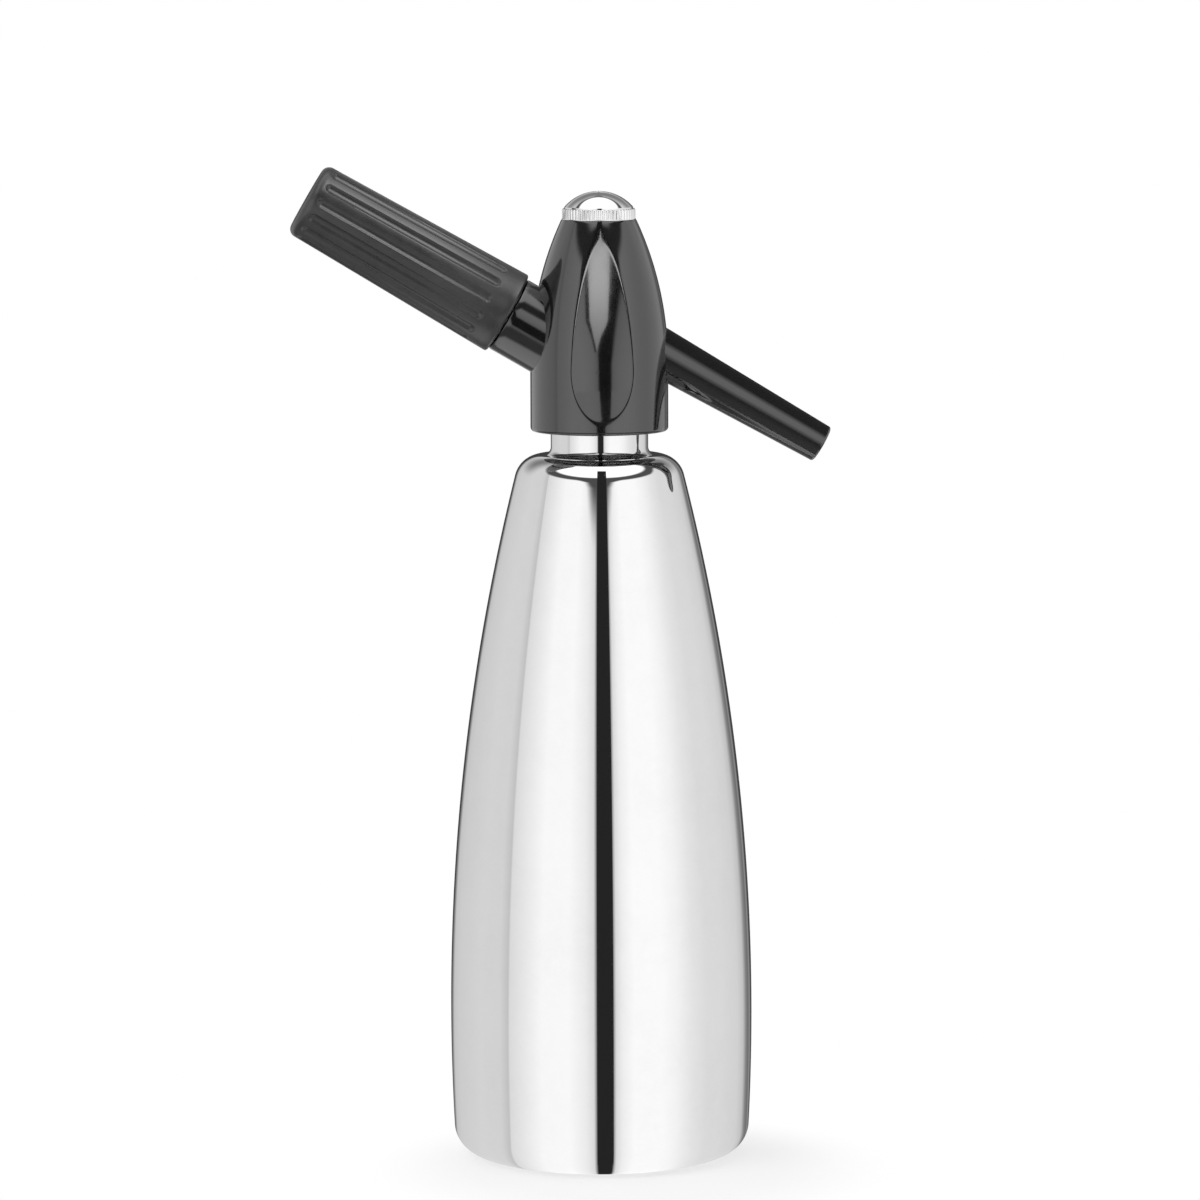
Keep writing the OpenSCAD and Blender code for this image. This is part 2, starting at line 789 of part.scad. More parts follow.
bottle_shell();
neck_collar();
riser_tube();
tube_hanger();
head_gasket();
head_body();
inlet_plug();
riser_seal();
valve_seat();
stem_guide();
stem_seal();
return_spring();
button_ring();
spout();
spout_seal();
charging_arm();
arm_seal();
check_valve();
pin_holder();
piercing_pin();
charger_seal();
push_button();
valve_stem();
valve_disc();
stem_nut();
gas_charger();
holder_pad();
charger_holder();
holder_insert();
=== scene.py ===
# %% [markdown]
# # Dressing a soda siphon
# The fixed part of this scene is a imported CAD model: a steel bottle, a black head with a button, a spout
# and a charging arm with a ribbed holder. This lesson lays smooth surfaces over that model, because mirror
# steel and glossy black show each flat facet of a coarse mesh. It keeps the model's sizes, apart from the
# spout and the head's upper part, which a later measurement corrects by one or two millimetres. Each shape
# below is a formula on a grid of points, so the light runs over it without a kink.

# %% Load the frame
import json
import math

import bmesh
import bpy
import numpy as np
from mathutils import Matrix


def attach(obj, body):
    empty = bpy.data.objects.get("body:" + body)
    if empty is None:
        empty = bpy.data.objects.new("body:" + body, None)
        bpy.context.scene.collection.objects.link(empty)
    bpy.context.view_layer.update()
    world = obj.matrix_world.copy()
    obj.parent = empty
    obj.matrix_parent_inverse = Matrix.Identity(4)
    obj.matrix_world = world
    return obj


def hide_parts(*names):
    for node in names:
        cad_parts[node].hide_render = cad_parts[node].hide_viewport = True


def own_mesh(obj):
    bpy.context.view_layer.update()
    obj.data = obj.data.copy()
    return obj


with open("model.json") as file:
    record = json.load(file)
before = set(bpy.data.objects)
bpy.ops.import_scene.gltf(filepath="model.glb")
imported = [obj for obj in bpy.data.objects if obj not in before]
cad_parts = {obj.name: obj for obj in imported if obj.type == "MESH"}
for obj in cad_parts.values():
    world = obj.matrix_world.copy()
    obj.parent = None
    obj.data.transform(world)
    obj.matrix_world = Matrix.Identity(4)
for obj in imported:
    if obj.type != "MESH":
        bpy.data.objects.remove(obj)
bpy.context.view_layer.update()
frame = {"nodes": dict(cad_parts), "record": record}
cad = frame["nodes"]
MM = 0.001

# %% [markdown]
# ## Skins and profiles
# A turned piece is a half profile carried round an axis. The profile is a short list of arcs and lines in
# millimetres, joined end to end. Where it starts and ends on the axis, the skin closes in two poles; where
# it comes back to its own start, the skin closes on itself like a ring. Modelling by hand with a spin tool
# would give the same thing, but a formula can be changed later and stays exact.

# %% Helpers for profiles and skins
def arc(x, z, r, start, end, steps):
    """Points x + r cos(a), z + r sin(a) for angles a from start to end, in degrees."""
    a = np.radians(np.linspace(start, end, steps))
    return np.stack([x + r * np.cos(a), z + r * np.sin(a)], -1)


def run(*corners, step=None):
    """A straight run through the corners, cut into pieces no longer than step."""
    corners = np.array(corners, float)
    if step is None:
        return corners
    parts = []
    for a, b in zip(corners[:-1], corners[1:]):
        n = max(1, int(np.ceil(np.linalg.norm(b - a) / step)))
        parts.append(a + (b - a) * np.linspace(0, 1, n, endpoint=False)[:, None])
    return np.concatenate(parts + [corners[-1:]])


def joined(*parts):
    """One profile from several, without the points that two neighbours share."""
    points = np.concatenate(parts)
    far = np.linalg.norm(np.diff(points, axis=0), axis=1) > 1e-6
    return points[np.concatenate([[True], far])]


def turned(profile, around):
    """Carries a half profile (r, z) round the axis: x = r cos(a), y = r sin(a), z = z."""
    a = np.linspace(0, 2 * np.pi, around, endpoint=False)[:, None]
    r, z = profile[None, :, 0], profile[None, :, 1]
    return np.stack([r * np.cos(a), r * np.sin(a), z + 0 * a], -1)


def stepped(start, bores):
    """A stepped profile from a start height, through a (radius, height where it ends) pair for each step."""
    r, ends = np.array(bores, float).T
    starts = np.concatenate([[start], ends[:-1]])
    return np.stack([np.repeat(r, 2), np.stack([starts, ends], -1).ravel()], -1)


def skin(name, points, loop=False, frame_axes=None, crease=32):
    """Lays four-sided faces over a grid of points in millimetres.

    The first index runs round the axis and always closes. The second runs along the profile and closes
    only where the profile is a loop. frame_axes turns and moves the grid into place. The signed volume,
    a sixth of the sum of p0 . (p1 x p2) over the triangles, tells which way the faces point.
    """
    around, along = points.shape[:2]
    if frame_axes is not None:
        points = frame_axes[0] + points @ frame_axes[1]
    i = np.arange(around)[:, None]
    j = np.arange(along if loop else along - 1)[None, :]
    nxt, up = (i + 1) % around, (j + 1) % along
    quads = np.stack([i * along + j, nxt * along + j, nxt * along + up, i * along + up], -1).reshape(-1, 4)
    verts = points.reshape(-1, 3) * MM
    p = verts[quads]
    volume = np.einsum("ij,ij->", p[:, 0], np.cross(p[:, 1], p[:, 2]) + np.cross(p[:, 2], p[:, 3])) / 6
    if volume < 0:
        quads = quads[:, ::-1]
    mesh = bpy.data.meshes.new(name)
    mesh.from_pydata(verts.tolist(), [], quads.tolist())
    work = bmesh.new()
    work.from_mesh(mesh)
    bmesh.ops.remove_doubles(work, verts=work.verts, dist=1e-7)
    work.to_mesh(mesh)
    work.free()
    mesh.polygons.foreach_set("use_smooth", np.ones(len(mesh.polygons), bool))
    mesh.set_sharp_from_angle(angle=math.radians(crease))
    piece = bpy.data.objects.new(name, mesh)
    bpy.context.scene.collection.objects.link(piece)
    print(f"{name}: {len(mesh.polygons)} faces, {abs(volume) * 1e6:.1f} cm3")
    return piece


def dress(piece, body, slot, *stands_for, look=None):
    """Gives a piece its slot's finish or another look and a body to ride on, and hides the CAD nodes it
    stands for.
    """
    piece.data.materials.append(finishes[look or slot])
    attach(piece, body)
    if stands_for:
        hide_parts(*stands_for)
    return piece


def soft_min(a, b, blend):
    """The smaller of two surfaces, with the edge between them rounded over the blend width."""
    h = np.clip(0.5 + 0.5 * (b - a) / blend, 0, 1)
    return b + (a - b) * h - blend * h * (1 - h)


# %% [markdown]
# ## Effects that several finishes share
# Real polish is never even: hands and cloths leave faint patches where the gloss is a little softer.
# Moulded plastic has a very fine grain, and turned metal has rings left by the tool. Each of these is one
# node group with named sockets, so the steel, the chrome and the black can use it at their own strength.

# %% Node groups
def effect(name, inputs, outputs):
    """An empty shader node group with float inputs, a vector input and float outputs."""
    group = bpy.data.node_groups.new(name, "ShaderNodeTree")
    group.interface.new_socket("Vector", in_out="INPUT", socket_type="NodeSocketVector")
    for label in inputs:
        group.interface.new_socket(label, in_out="INPUT", socket_type="NodeSocketFloat")
    for label in outputs:
        group.interface.new_socket(label, in_out="OUTPUT", socket_type="NodeSocketFloat")
    return group, group.nodes.new("NodeGroupInput"), group.nodes.new("NodeGroupOutput")


def noise(group, scale, detail, rough=0.55):
    """A noise node with its scale, detail and roughness set."""
    node = group.nodes.new("ShaderNodeTexNoise")
    node.inputs["Scale"].default_value = scale
    node.inputs["Detail"].default_value = detail
    node.inputs["Roughness"].default_value = rough
    return node


def sums(group, kind, *values):
    """A math node; a number sets a socket and a socket links to it."""
    node = group.nodes.new("ShaderNodeMath")
    node.operation = kind
    for socket, value in zip(node.inputs, values):
        if isinstance(value, (int, float)):
            socket.default_value = value
        else:
            group.links.new(value, socket)
    return node.outputs[0]


# Handling marks: broad patches times fine wisps, brought between two roughness values
PATCHES_PER_M = 26
WISPS_PER_M = 190
MARKS_START, MARKS_FULL = 0.14, 0.42
marks, m_in, m_out = effect("handling_marks", ["Clean", "Touched"], ["Roughness", "Mask"])
patch = noise(marks, PATCHES_PER_M, 2)
wisp = noise(marks, WISPS_PER_M, 5, 0.7)
marks.links.new(m_in.outputs["Vector"], patch.inputs["Vector"])
marks.links.new(m_in.outputs["Vector"], wisp.inputs["Vector"])
both = sums(marks, "MULTIPLY", patch.outputs[0], wisp.outputs[0])
mask = marks.nodes.new("ShaderNodeMapRange")
mask.inputs["From Min"].default_value = MARKS_START
mask.inputs["From Max"].default_value = MARKS_FULL
marks.links.new(both, mask.inputs["Value"])
span = sums(marks, "SUBTRACT", m_in.outputs["Touched"], m_in.outputs["Clean"])
marks.links.new(sums(marks, "ADD", m_in.outputs["Clean"], sums(marks, "MULTIPLY", mask.outputs[0], span)),
                m_out.inputs["Roughness"])
marks.links.new(mask.outputs[0], m_out.inputs["Mask"])

# Mould grain: two sizes of noise laid over each other
grain, g_in, g_out = effect("mould_grain", ["Grain size"], ["Height"])
per_metre = sums(grain, "DIVIDE", 1.0, g_in.outputs["Grain size"])
coarse, fine = noise(grain, 1, 3), noise(grain, 1, 2)
for node, factor in ((coarse, 0.35), (fine, 1.0)):
    grain.links.new(g_in.outputs["Vector"], node.inputs["Vector"])
    grain.links.new(sums(grain, "MULTIPLY", per_metre, factor), node.inputs["Scale"])
grain.links.new(sums(grain, "ADD", coarse.outputs[0], sums(grain, "MULTIPLY", fine.outputs[0], 0.5)),
                g_out.inputs["Height"])

# Turning rings: noise that depends only on the distance from the axis and the place along it
rings, r_in, r_out = effect("turning_rings", ["Ring width"], ["Height"])
split = rings.nodes.new("ShaderNodeSeparateXYZ")
rings.links.new(r_in.outputs["Vector"], split.inputs[0])
squares = [sums(rings, "POWER", sums(rings, "ABSOLUTE", axis), 2.0) for axis in split.outputs[:2]]
across = sums(rings, "SQRT", sums(rings, "ADD", *squares))
place = rings.nodes.new("ShaderNodeCombineXYZ")
rings.links.new(sums(rings, "DIVIDE", across, r_in.outputs["Ring width"]), place.inputs[0])
rings.links.new(sums(rings, "DIVIDE", split.outputs[2], r_in.outputs["Ring width"]), place.inputs[1])
ring_noise = noise(rings, 1, 2)
rings.links.new(place.outputs[0], ring_noise.inputs["Vector"])
rings.links.new(ring_noise.outputs[0], r_out.inputs["Height"])
print("effects:", [g.name for g in bpy.data.node_groups])

# %% [markdown]
# ## Finishes
# Nine finishes cover the siphon. The steel and the chrome are mirrors, so nearly all that they show is the
# studio round them. The knurled ring's chrome is duller. The black of head, arm and spout is a glossy paint:
# a very dark colour under a clear coat. The holder's black is a satin moulding. Soft seals, brass, white
# nylon and bright drawn steel are found inside. A number that is the same all over sits on the shader itself.

# %% Finishes
finishes = {}


def finish(slot, colour, tint, metallic, clean, touched):
    """A finish for a slot whose colour and roughness drift with the handling marks."""
    mat = bpy.data.materials.new("finish_" + slot)
    finishes[slot] = mat
    mat.use_nodes = True
    tree = mat.node_tree
    shader = tree.nodes["Principled BSDF"]
    coords = tree.nodes.new("ShaderNodeTexCoord")
    touch = tree.nodes.new("ShaderNodeGroup")
    touch.node_tree = marks
    touch.inputs["Clean"].default_value = clean
    touch.inputs["Touched"].default_value = touched
    tree.links.new(coords.outputs["Object"], touch.inputs["Vector"])
    blend = tree.nodes.new("ShaderNodeMix")
    blend.data_type = "RGBA"
    blend.inputs["A"].default_value = (*colour, 1)
    blend.inputs["B"].default_value = (*tint, 1)
    tree.links.new(touch.outputs["Mask"], blend.inputs["Factor"])
    tree.links.new(blend.outputs["Result"], shader.inputs["Base Color"])
    tree.links.new(touch.outputs["Roughness"], shader.inputs["Roughness"])
    shader.inputs["Metallic"].default_value = metallic
    return tree, shader, coords


def relief(tree, shader, coords, group, label, size, depth):
    """Feeds the height of an effect group through a Bump node."""
    node = tree.nodes.new("ShaderNodeGroup")
    node.node_tree = group
    node.inputs[label].default_value = size
    tree.links.new(coords.outputs["Object"], node.inputs["Vector"])
    bump = tree.nodes.new("ShaderNodeBump")
    bump.inputs["Strength"].default_value = 1.0
    bump.inputs["Distance"].default_value = depth
    tree.links.new(node.outputs["Height"], bump.inputs["Height"])
    tree.links.new(bump.outputs["Normal"], shader.inputs["Normal"])


finish("polished_steel", (0.88, 0.88, 0.885), (0.85, 0.85, 0.855), 1, 0.018, 0.045)
finish("bright_chrome", (0.90, 0.90, 0.905), (0.86, 0.86, 0.87), 1, 0.025, 0.06)
finish("knurled_chrome", (0.92, 0.92, 0.925), (0.86, 0.86, 0.87), 1, 0.2, 0.32)

tree, shader, coords = finish("gloss_black", (0.006, 0.006, 0.0065), (0.009, 0.009, 0.0095), 0, 0.07, 0.12)
shader.inputs["Specular IOR Level"].default_value = 1.0
shader.inputs["Coat Weight"].default_value = 0.7
shader.inputs["Coat Roughness"].default_value = 0.03
relief(tree, shader, coords, grain, "Grain size", 0.004, 0.000006)

tree, shader, coords = finish("satin_black", (0.025, 0.025, 0.0255), (0.034, 0.034, 0.0345), 0, 0.26, 0.36)
shader.inputs["Specular IOR Level"].default_value = 0.8
relief(tree, shader, coords, grain, "Grain size", 0.0005, 0.00002)

tree, shader, coords = finish("black_rubber", (0.018, 0.018, 0.018), (0.030, 0.030, 0.031), 0, 0.62, 0.8)
relief(tree, shader, coords, grain, "Grain size", 0.0007, 0.00004)

tree, shader, coords = finish("turned_brass", (0.72, 0.55, 0.25), (0.60, 0.44, 0.20), 1, 0.2, 0.34)
relief(tree, shader, coords, rings, "Ring width", 0.0002, 0.00001)

tree, shader, coords = finish("white_nylon", (0.82, 0.81, 0.77), (0.76, 0.75, 0.70), 0, 0.38, 0.52)
shader.inputs["Subsurface Weight"].default_value = 0.15
shader.inputs["Subsurface Radius"].default_value = (0.002, 0.002, 0.0015)
relief(tree, shader, coords, grain, "Grain size", 0.001, 0.00002)

tree, shader, coords = finish("bright_steel", (0.66, 0.66, 0.67), (0.58, 0.58, 0.59), 1, 0.18, 0.3)
relief(tree, shader, coords, rings, "Ring width", 0.0003, 0.000008)
print("finishes:", list(finishes))

# %% [markdown]
# ## The bottle
# The bottle is drawn from one sheet of steel. Its side is one very long arc, 735 mm in radius, that is widest
# near the base and meets a tight shoulder. Arcs that touch share one tangent, so the angles where they meet
# come from the line between their centres. The inside wall is the same profile, 1.2 mm further in.

# %% Bottle
BOTTLE_R = 50.0  # where the bottle is widest
WIDEST = 47.0  # height of that place
BELLY = 735.0  # radius of the long side arc
SHOULDER = 8.9  # radius of the shoulder
SHOULDER_TOP = 232.9
BASE = 9.5  # radius of the edge round the base
WALL = 1.2
NECK_R = 16.05
NECK_TOP = 240.5
FILLET = 2.5  # radius between shoulder and neck
HOLLOW_R = 35.0  # radius of the hollow under the base
HOLLOW_H = 2.5  # and its height
belly_x = BOTTLE_R - BELLY
base_x = belly_x + math.sqrt((BELLY - BASE) ** 2 - (BASE - WIDEST) ** 2)
shoulder_z = SHOULDER_TOP - SHOULDER
shoulder_x = belly_x + math.sqrt((BELLY - SHOULDER) ** 2 - (shoulder_z - WIDEST) ** 2)
low = math.degrees(math.atan2(BASE - WIDEST, base_x - belly_x))
high = math.degrees(math.atan2(shoulder_z - WIDEST, shoulder_x - belly_x))
hollow = (HOLLOW_R ** 2 + HOLLOW_H ** 2) / (2 * HOLLOW_H)
tilt = math.degrees(math.asin(HOLLOW_R / hollow))


def bottle_side(inset):
    """Half profile from the base's round edge to the top of the neck, drawn in by an inset."""
    return joined(arc(base_x, BASE, BASE - inset, -90, low, 22),
                  arc(belly_x, WIDEST, BELLY - inset, low, high, 120),
                  arc(shoulder_x, shoulder_z, SHOULDER - inset, high, 90, 26),
                  arc(NECK_R + FILLET, SHOULDER_TOP + FILLET, FILLET + inset, 270, 180, 14),
                  run((NECK_R - inset, SHOULDER_TOP + FILLET), (NECK_R - inset, NECK_TOP), step=1.5))


floor_tilt = math.degrees(math.acos((hollow - HOLLOW_H + WALL) / (hollow + WALL)))
outside = joined(arc(0, HOLLOW_H - hollow, hollow, 90, 90 - tilt, 16), bottle_side(0))
inside = joined(arc(0, HOLLOW_H - hollow, hollow + WALL, 90, 90 - floor_tilt, 16), bottle_side(WALL))
bottle = skin("bottle_steel", turned(joined(outside, inside[::-1]), 192))
dress(bottle, "bottle", "polished_steel", "bottle_shell")

# %% [markdown]
# ## Screw threads
# The head screws on to the neck, and the holder screws on to the arm. Each thread is a small ridge carried
# along a helix: the height rises by one pitch in each turn, and the ridge shrinks to nothing at both ends,
# as a cut thread runs out. The matching ridge in the other piece lies half a pitch away, so the two pass
# each other when one is turned.

# %% Threads
TURN_STEPS = 72  # stations in one turn
RIDGE_SIDES = 10  # points round the ridge
RIDGE_FOOT = -0.08  # the ridge's foot, as a share of its height
RUN_OUTS = 5  # the ridge grows to its full height over one fifth of a turn


def thread(name, root, height, pitch, start, turns, inward=False, frame_axes=None):
    """A ridge along a helix: r = root + height * outline, z = start + pitch * turns * u, u from 0 to 1.

    The outline is a wave cut off flat at the top, and the ridge is narrower there than at its foot.
    """
    u = np.linspace(0, 1, int(TURN_STEPS * turns) + 1)[:, None]
    run_out = np.clip(np.minimum(u, 1 - u) * turns * RUN_OUTS, 0, 1)
    k = np.linspace(0, 2 * np.pi, RIDGE_SIDES, endpoint=False)[None, :]
    rise = np.clip(0.5 + 0.75 * np.cos(k), RIDGE_FOOT, 1) * height * (-1 if inward else 1)
    width = np.sin(k) * (0.36 - 0.16 * np.cos(k)) * pitch
    a = 2 * np.pi * turns * u
    r = root + rise * run_out
    z = start + pitch * turns * u + width * run_out
    points = np.stack([r * np.cos(a), r * np.sin(a), z], -1)
    return skin(name, points.transpose(1, 0, 2), frame_axes=frame_axes, crease=50)


HEAD_PITCH = 3.0
HOLDER_PITCH = 2.0
NECK_ROOT, NECK_RIDGE, NECK_TURNS = 15.2, 0.8, 3.2
SOCKET_R, SOCKET_RIDGE, SOCKET_TURNS = 16.4, 0.7, 3.4
THREAD_LOW = 242.0  # height where the neck's thread starts
neck_thread = thread("neck_thread", NECK_ROOT, NECK_RIDGE, HEAD_PITCH, THREAD_LOW, NECK_TURNS)
dress(neck_thread, "bottle", "polished_steel")
socket_low = THREAD_LOW + HEAD_PITCH / 2
socket_thread = thread("socket_thread", SOCKET_R, SOCKET_RIDGE, HEAD_PITCH, socket_low, SOCKET_TURNS,
                       inward=True)
dress(socket_thread, "head", "gloss_black")

# %% [markdown]
# ## The head
# The head is a bullet: straight at the foot, then drawn in on an arc of 111.5 mm. A long hollow like a
# teardrop is scooped out at the front and at the back. The hollow's cutter is turned about an axis that leans
# away from the head. Its side follows two arcs: a long one above, nearly flat, and a short one below that
# comes back to the surface. Along a line from the axis, the surface is where the bullet or the cutter is met
# first, so the head is one height field in angle and height, and the edge between the two is eased.

# %% Head
HEAD_R = 22.7
HEAD_LOW = 240.7
HEAD_TOP = 310.3
STRAIGHT = 263.2  # height where the straight side starts to curve in
HEAD_ARC = 111.5
EDGE = 1.3  # radius of the lower edge
CROWN = 0.6  # radius of the upper edge
SCOOP_X, SCOOP_Z = 19.0, 272.0  # the long arc's foremost point
SCOOP_BACK, SCOOP_FOOT = 119.0, 37.0  # radii of the long and the short arc
SCOOP_JOIN = 264.0  # height where the two arcs meet
SCOOP_REACH = 26.0  # the search for the cutter ends this far from the axis
SCOOP_HALF = np.radians(36)  # beyond this angle the cutter isn't met
SCOOP_EASE = 0.5
SCOOP_AXIS, SCOOP_TILT = (50.0, 258.0), 46.0
FAR_OUT = 99.0  # stands for a cutter that a line from the axis misses
SCOOP_TURN = math.asin((SCOOP_JOIN - SCOOP_Z) / SCOOP_BACK)
head_x = HEAD_R - HEAD_ARC
crown_z = HEAD_TOP - CROWN
crown_x = head_x + math.sqrt((HEAD_ARC - CROWN) ** 2 - (crown_z - STRAIGHT) ** 2)
crown_tilt = math.degrees(math.atan2(crown_z - STRAIGHT, crown_x - head_x))


def scoop_depth(side, z):
    """Distance from the head's axis to the cutter, for an angle from the hollow's middle and a height.

    The cutter is turned about a slanted axis. A point's distance from that axis and its place along it give
    the point of the cutter's side view it is turned into: axis + along * a + off * b. There the cutter ends
    at two arcs, a long one that bulges forward and, below SCOOP_JOIN, a short one that comes to the surface.
    The root in r is halved in, 40 times over.
    """
    slope = math.radians(SCOOP_TILT)
    back_x = SCOOP_X - SCOOP_BACK
    foot_x = back_x + (SCOOP_BACK + SCOOP_FOOT) * math.cos(SCOOP_TURN)
    foot_z = SCOOP_Z + (SCOOP_BACK + SCOOP_FOOT) * math.sin(SCOOP_TURN)
    near, far = np.zeros(np.broadcast(side, z).shape), np.full(np.broadcast(side, z).shape, SCOOP_REACH)
    for _ in range(40):
        r = (near + far) / 2
        x, up = r * np.cos(side) - SCOOP_AXIS[0], z - SCOOP_AXIS[1]
        along = x * math.cos(slope) + up * math.sin(slope)
        off = np.hypot(up * math.cos(slope) - x * math.sin(slope), r * np.sin(side))
        x = SCOOP_AXIS[0] + along * math.cos(slope) - off * math.sin(slope)
        up = SCOOP_AXIS[1] + along * math.sin(slope) + off * math.cos(slope)
        inside = np.where(up > SCOOP_JOIN, np.hypot(x - back_x, up - SCOOP_Z) > SCOOP_BACK,
                          np.hypot(x - foot_x, up - foot_z) < SCOOP_FOOT)
        near, far = np.where(inside, near, r), np.where(inside, r, far)
    return np.where(far > 0.99 * SCOOP_REACH, FAR_OUT, near)


bullet = joined(arc(HEAD_R - EDGE, HEAD_LOW + EDGE, EDGE, -90, 0, 8),
                run((HEAD_R, HEAD_LOW + EDGE), (HEAD_R, STRAIGHT), step=0.5),
                arc(head_x, STRAIGHT, HEAD_ARC, 0, crown_tilt, 90),
                arc(crown_x, crown_z, CROWN, crown_tilt, 90, 6))
# From the top down: ring, spring, stem guide, stem seal, stem, outlet, valve chamber, plug and neck
HEAD_BORES = [(10.95, 304.0), (9.0, 294.0), (6.55, 286.3), (3.85, 284.5), (2.5, 283.0), (4.6, 269.0),
              (5.2, 261.0), (7.25, 256.3), (SOCKET_R, HEAD_LOW)]
inner = stepped(HEAD_TOP, HEAD_BORES)
around = 360
angle = np.linspace(0, 2 * np.pi, around, endpoint=False)[:, None]
side = np.minimum(np.abs(angle - 0.5 * np.pi), np.abs(angle - 1.5 * np.pi))
side = np.minimum(side, SCOOP_HALF)
z = bullet[None, :, 1] + 0 * angle
r = soft_min(bullet[None, :, 0] + 0 * angle, scoop_depth(side, z), SCOOP_EASE)
outer_skin = np.stack([r * np.cos(angle), r * np.sin(angle), z], -1)
head = skin("head_moulding", np.concatenate([outer_skin, turned(inner, around)], 1), loop=True)
dress(head, "head", "gloss_black", "head_body")

# %% [markdown]
# ## Spout and charging arm
# Both are turned pieces that leave the head at a slant, the spout 30 degrees down and the arm 30 degrees up.
# They are modelled upright and then turned about Y into place. Their roots run on into the head, so the edge
# where they meet is the true curve of one surface through the other.

# %% Spout and arm
def slanted(height, degrees):
    """Origin and axes of a piece whose own Z leaves the head's axis at a slant, turned about Y."""
    a = math.radians(degrees)
    axes = np.array([[math.cos(a), 0, -math.sin(a)], [0, 1, 0], [math.sin(a), 0, math.cos(a)]])
    return np.array([0, 0, height]), axes


ARM_Z, ARM_RISE = 262.0, 30.2
SPOUT_Z, SPOUT_FALL = 278.0, 30.0
ON_ARM = slanted(ARM_Z, ARM_RISE - 90)
ON_SPOUT = slanted(SPOUT_Z, 90 + SPOUT_FALL)

SPOUT_ROOT_T, SPOUT_ROOT_R = 14.5, 8.25
SPOUT_TIP_T, SPOUT_TIP_R = 84.0, 6.34
TIP_ROUND, SPOUT_BORE, BORE_ROUND = 0.77, 2.5, 0.5
bore_t = SPOUT_TIP_T + TIP_ROUND - BORE_ROUND
spout_profile = joined(run((SPOUT_ROOT_R, SPOUT_ROOT_T), (SPOUT_TIP_R, SPOUT_TIP_T), step=2.5),
                       arc(SPOUT_TIP_R - TIP_ROUND, SPOUT_TIP_T, TIP_ROUND, 2, 90, 6),
                       arc(SPOUT_BORE + BORE_ROUND, bore_t, BORE_ROUND, 90, 180, 5),
                       run((SPOUT_BORE, bore_t), (SPOUT_BORE, SPOUT_ROOT_T)))
spout = skin("spout_horn", turned(spout_profile, 96), loop=True, frame_axes=ON_SPOUT)
dress(spout, "head", "gloss_black", "spout")

ARM_R, ARM_ROOT_T, ARM_EDGE_T, ARM_ROUND = 12.9, 15.5, 34.0, 0.6
STUB_R, STUB_BEVEL_T = 10.3, 45.7
STUB_END_R, STUB_END_T = 9.5, 46.5
ARM_BORES = [(5.0, 22.8), (3.6, 16.5), (1.1, ARM_ROOT_T)]
STUB_RIDGE, STUB_THREAD_T, STUB_TURNS = 0.25, 36.0, 4.4
arm_profile = joined(run((ARM_R, ARM_ROOT_T), (ARM_R, ARM_EDGE_T), step=1.5),
                     arc(ARM_R - ARM_ROUND, ARM_EDGE_T, ARM_ROUND, 0, 90, 6),
                     run((STUB_R, ARM_EDGE_T + ARM_ROUND), (STUB_R, STUB_BEVEL_T), (STUB_END_R, STUB_END_T)),
                     stepped(STUB_END_T, ARM_BORES))
arm = skin("arm_body", turned(arm_profile, 120), loop=True, frame_axes=ON_ARM)
dress(arm, "head", "gloss_black", "charging_arm")
stub_thread = thread("stub_thread", STUB_R, STUB_RIDGE, HOLDER_PITCH, STUB_THREAD_T, STUB_TURNS,
                     frame_axes=ON_ARM)
dress(stub_thread, "head", "gloss_black")

# %% [markdown]
# ## The charger holder
# The holder is a slowly tapering cup with fourteen shallow flutes for the fingers. A flute is the mark of a
# round bar laid along the side, with ball ends. Seen along the axis, the bar's nearest surface is at
# c cos(d) - sqrt(q^2 - c^2 sin(d)^2), where c is the bar's distance, d the angle from the flute's middle and
# q the bar's radius there, which shrinks to nothing over the ball ends.

# %% Holder
OPEN_T, HOLDER_LEN = 34.9, 75.8  # place of the open end along the arm, and length
OPEN_R, CLOSED_R = 14.25, 12.8
ROUND, ROUND_JOIN = 2.8, 0.02  # radius of the closed end's edge, and the room where it meets the side
LIP = 0.8  # radius of the open end's edge
CUP_R, CUP_FLOOR_T = 9.43, 106.53  # the charger's room
INSERT_R, INSERT_T = 11.7, 47.1  # the threaded insert's room
MOUTH_BAND = 1.2  # plain band inside the open end
FLUTES, FLUTE_R, FLUTE_DEPTH, FLUTE_TURN = 14, 2.0, 0.9, np.radians(-5.4)
FLUTE_FROM_OPEN, FLUTE_FROM_CLOSED = 9.0, 5.0  # the ball ends' centres, from either end
BALL_SPAN = 2.2  # the mesh is finer this far either side of a ball's centre
FLUTE_EASE = 0.12
FLUTE_STEPS = 28  # points round the holder for each flute
close_t = OPEN_T + HOLDER_LEN
lip_t = OPEN_T + LIP
round_t = close_t - ROUND
lean = math.atan((OPEN_R - CLOSED_R) / HOLDER_LEN)
round_r = CLOSED_R + (ROUND + ROUND_JOIN) * math.tan(lean) - ROUND / math.cos(lean)
ends = (OPEN_T + FLUTE_FROM_OPEN, close_t - FLUTE_FROM_CLOSED)
stations = np.unique(np.concatenate([np.linspace(lip_t, round_t, 34),
                                     *[e + np.linspace(-BALL_SPAN, BALL_SPAN, 23) for e in ends]]))
stations = stations[(stations >= lip_t) & (stations <= round_t)]
taper = OPEN_R - (stations - OPEN_T) * (OPEN_R - CLOSED_R) / HOLDER_LEN
sleeve = joined(arc(OPEN_R - LIP, lip_t, LIP, -90, -4, 6),
                np.stack([taper, stations], -1),
                arc(round_r, round_t, ROUND, math.degrees(lean), 90, 14),
                run((round_r, close_t), (0, close_t), step=2.0))
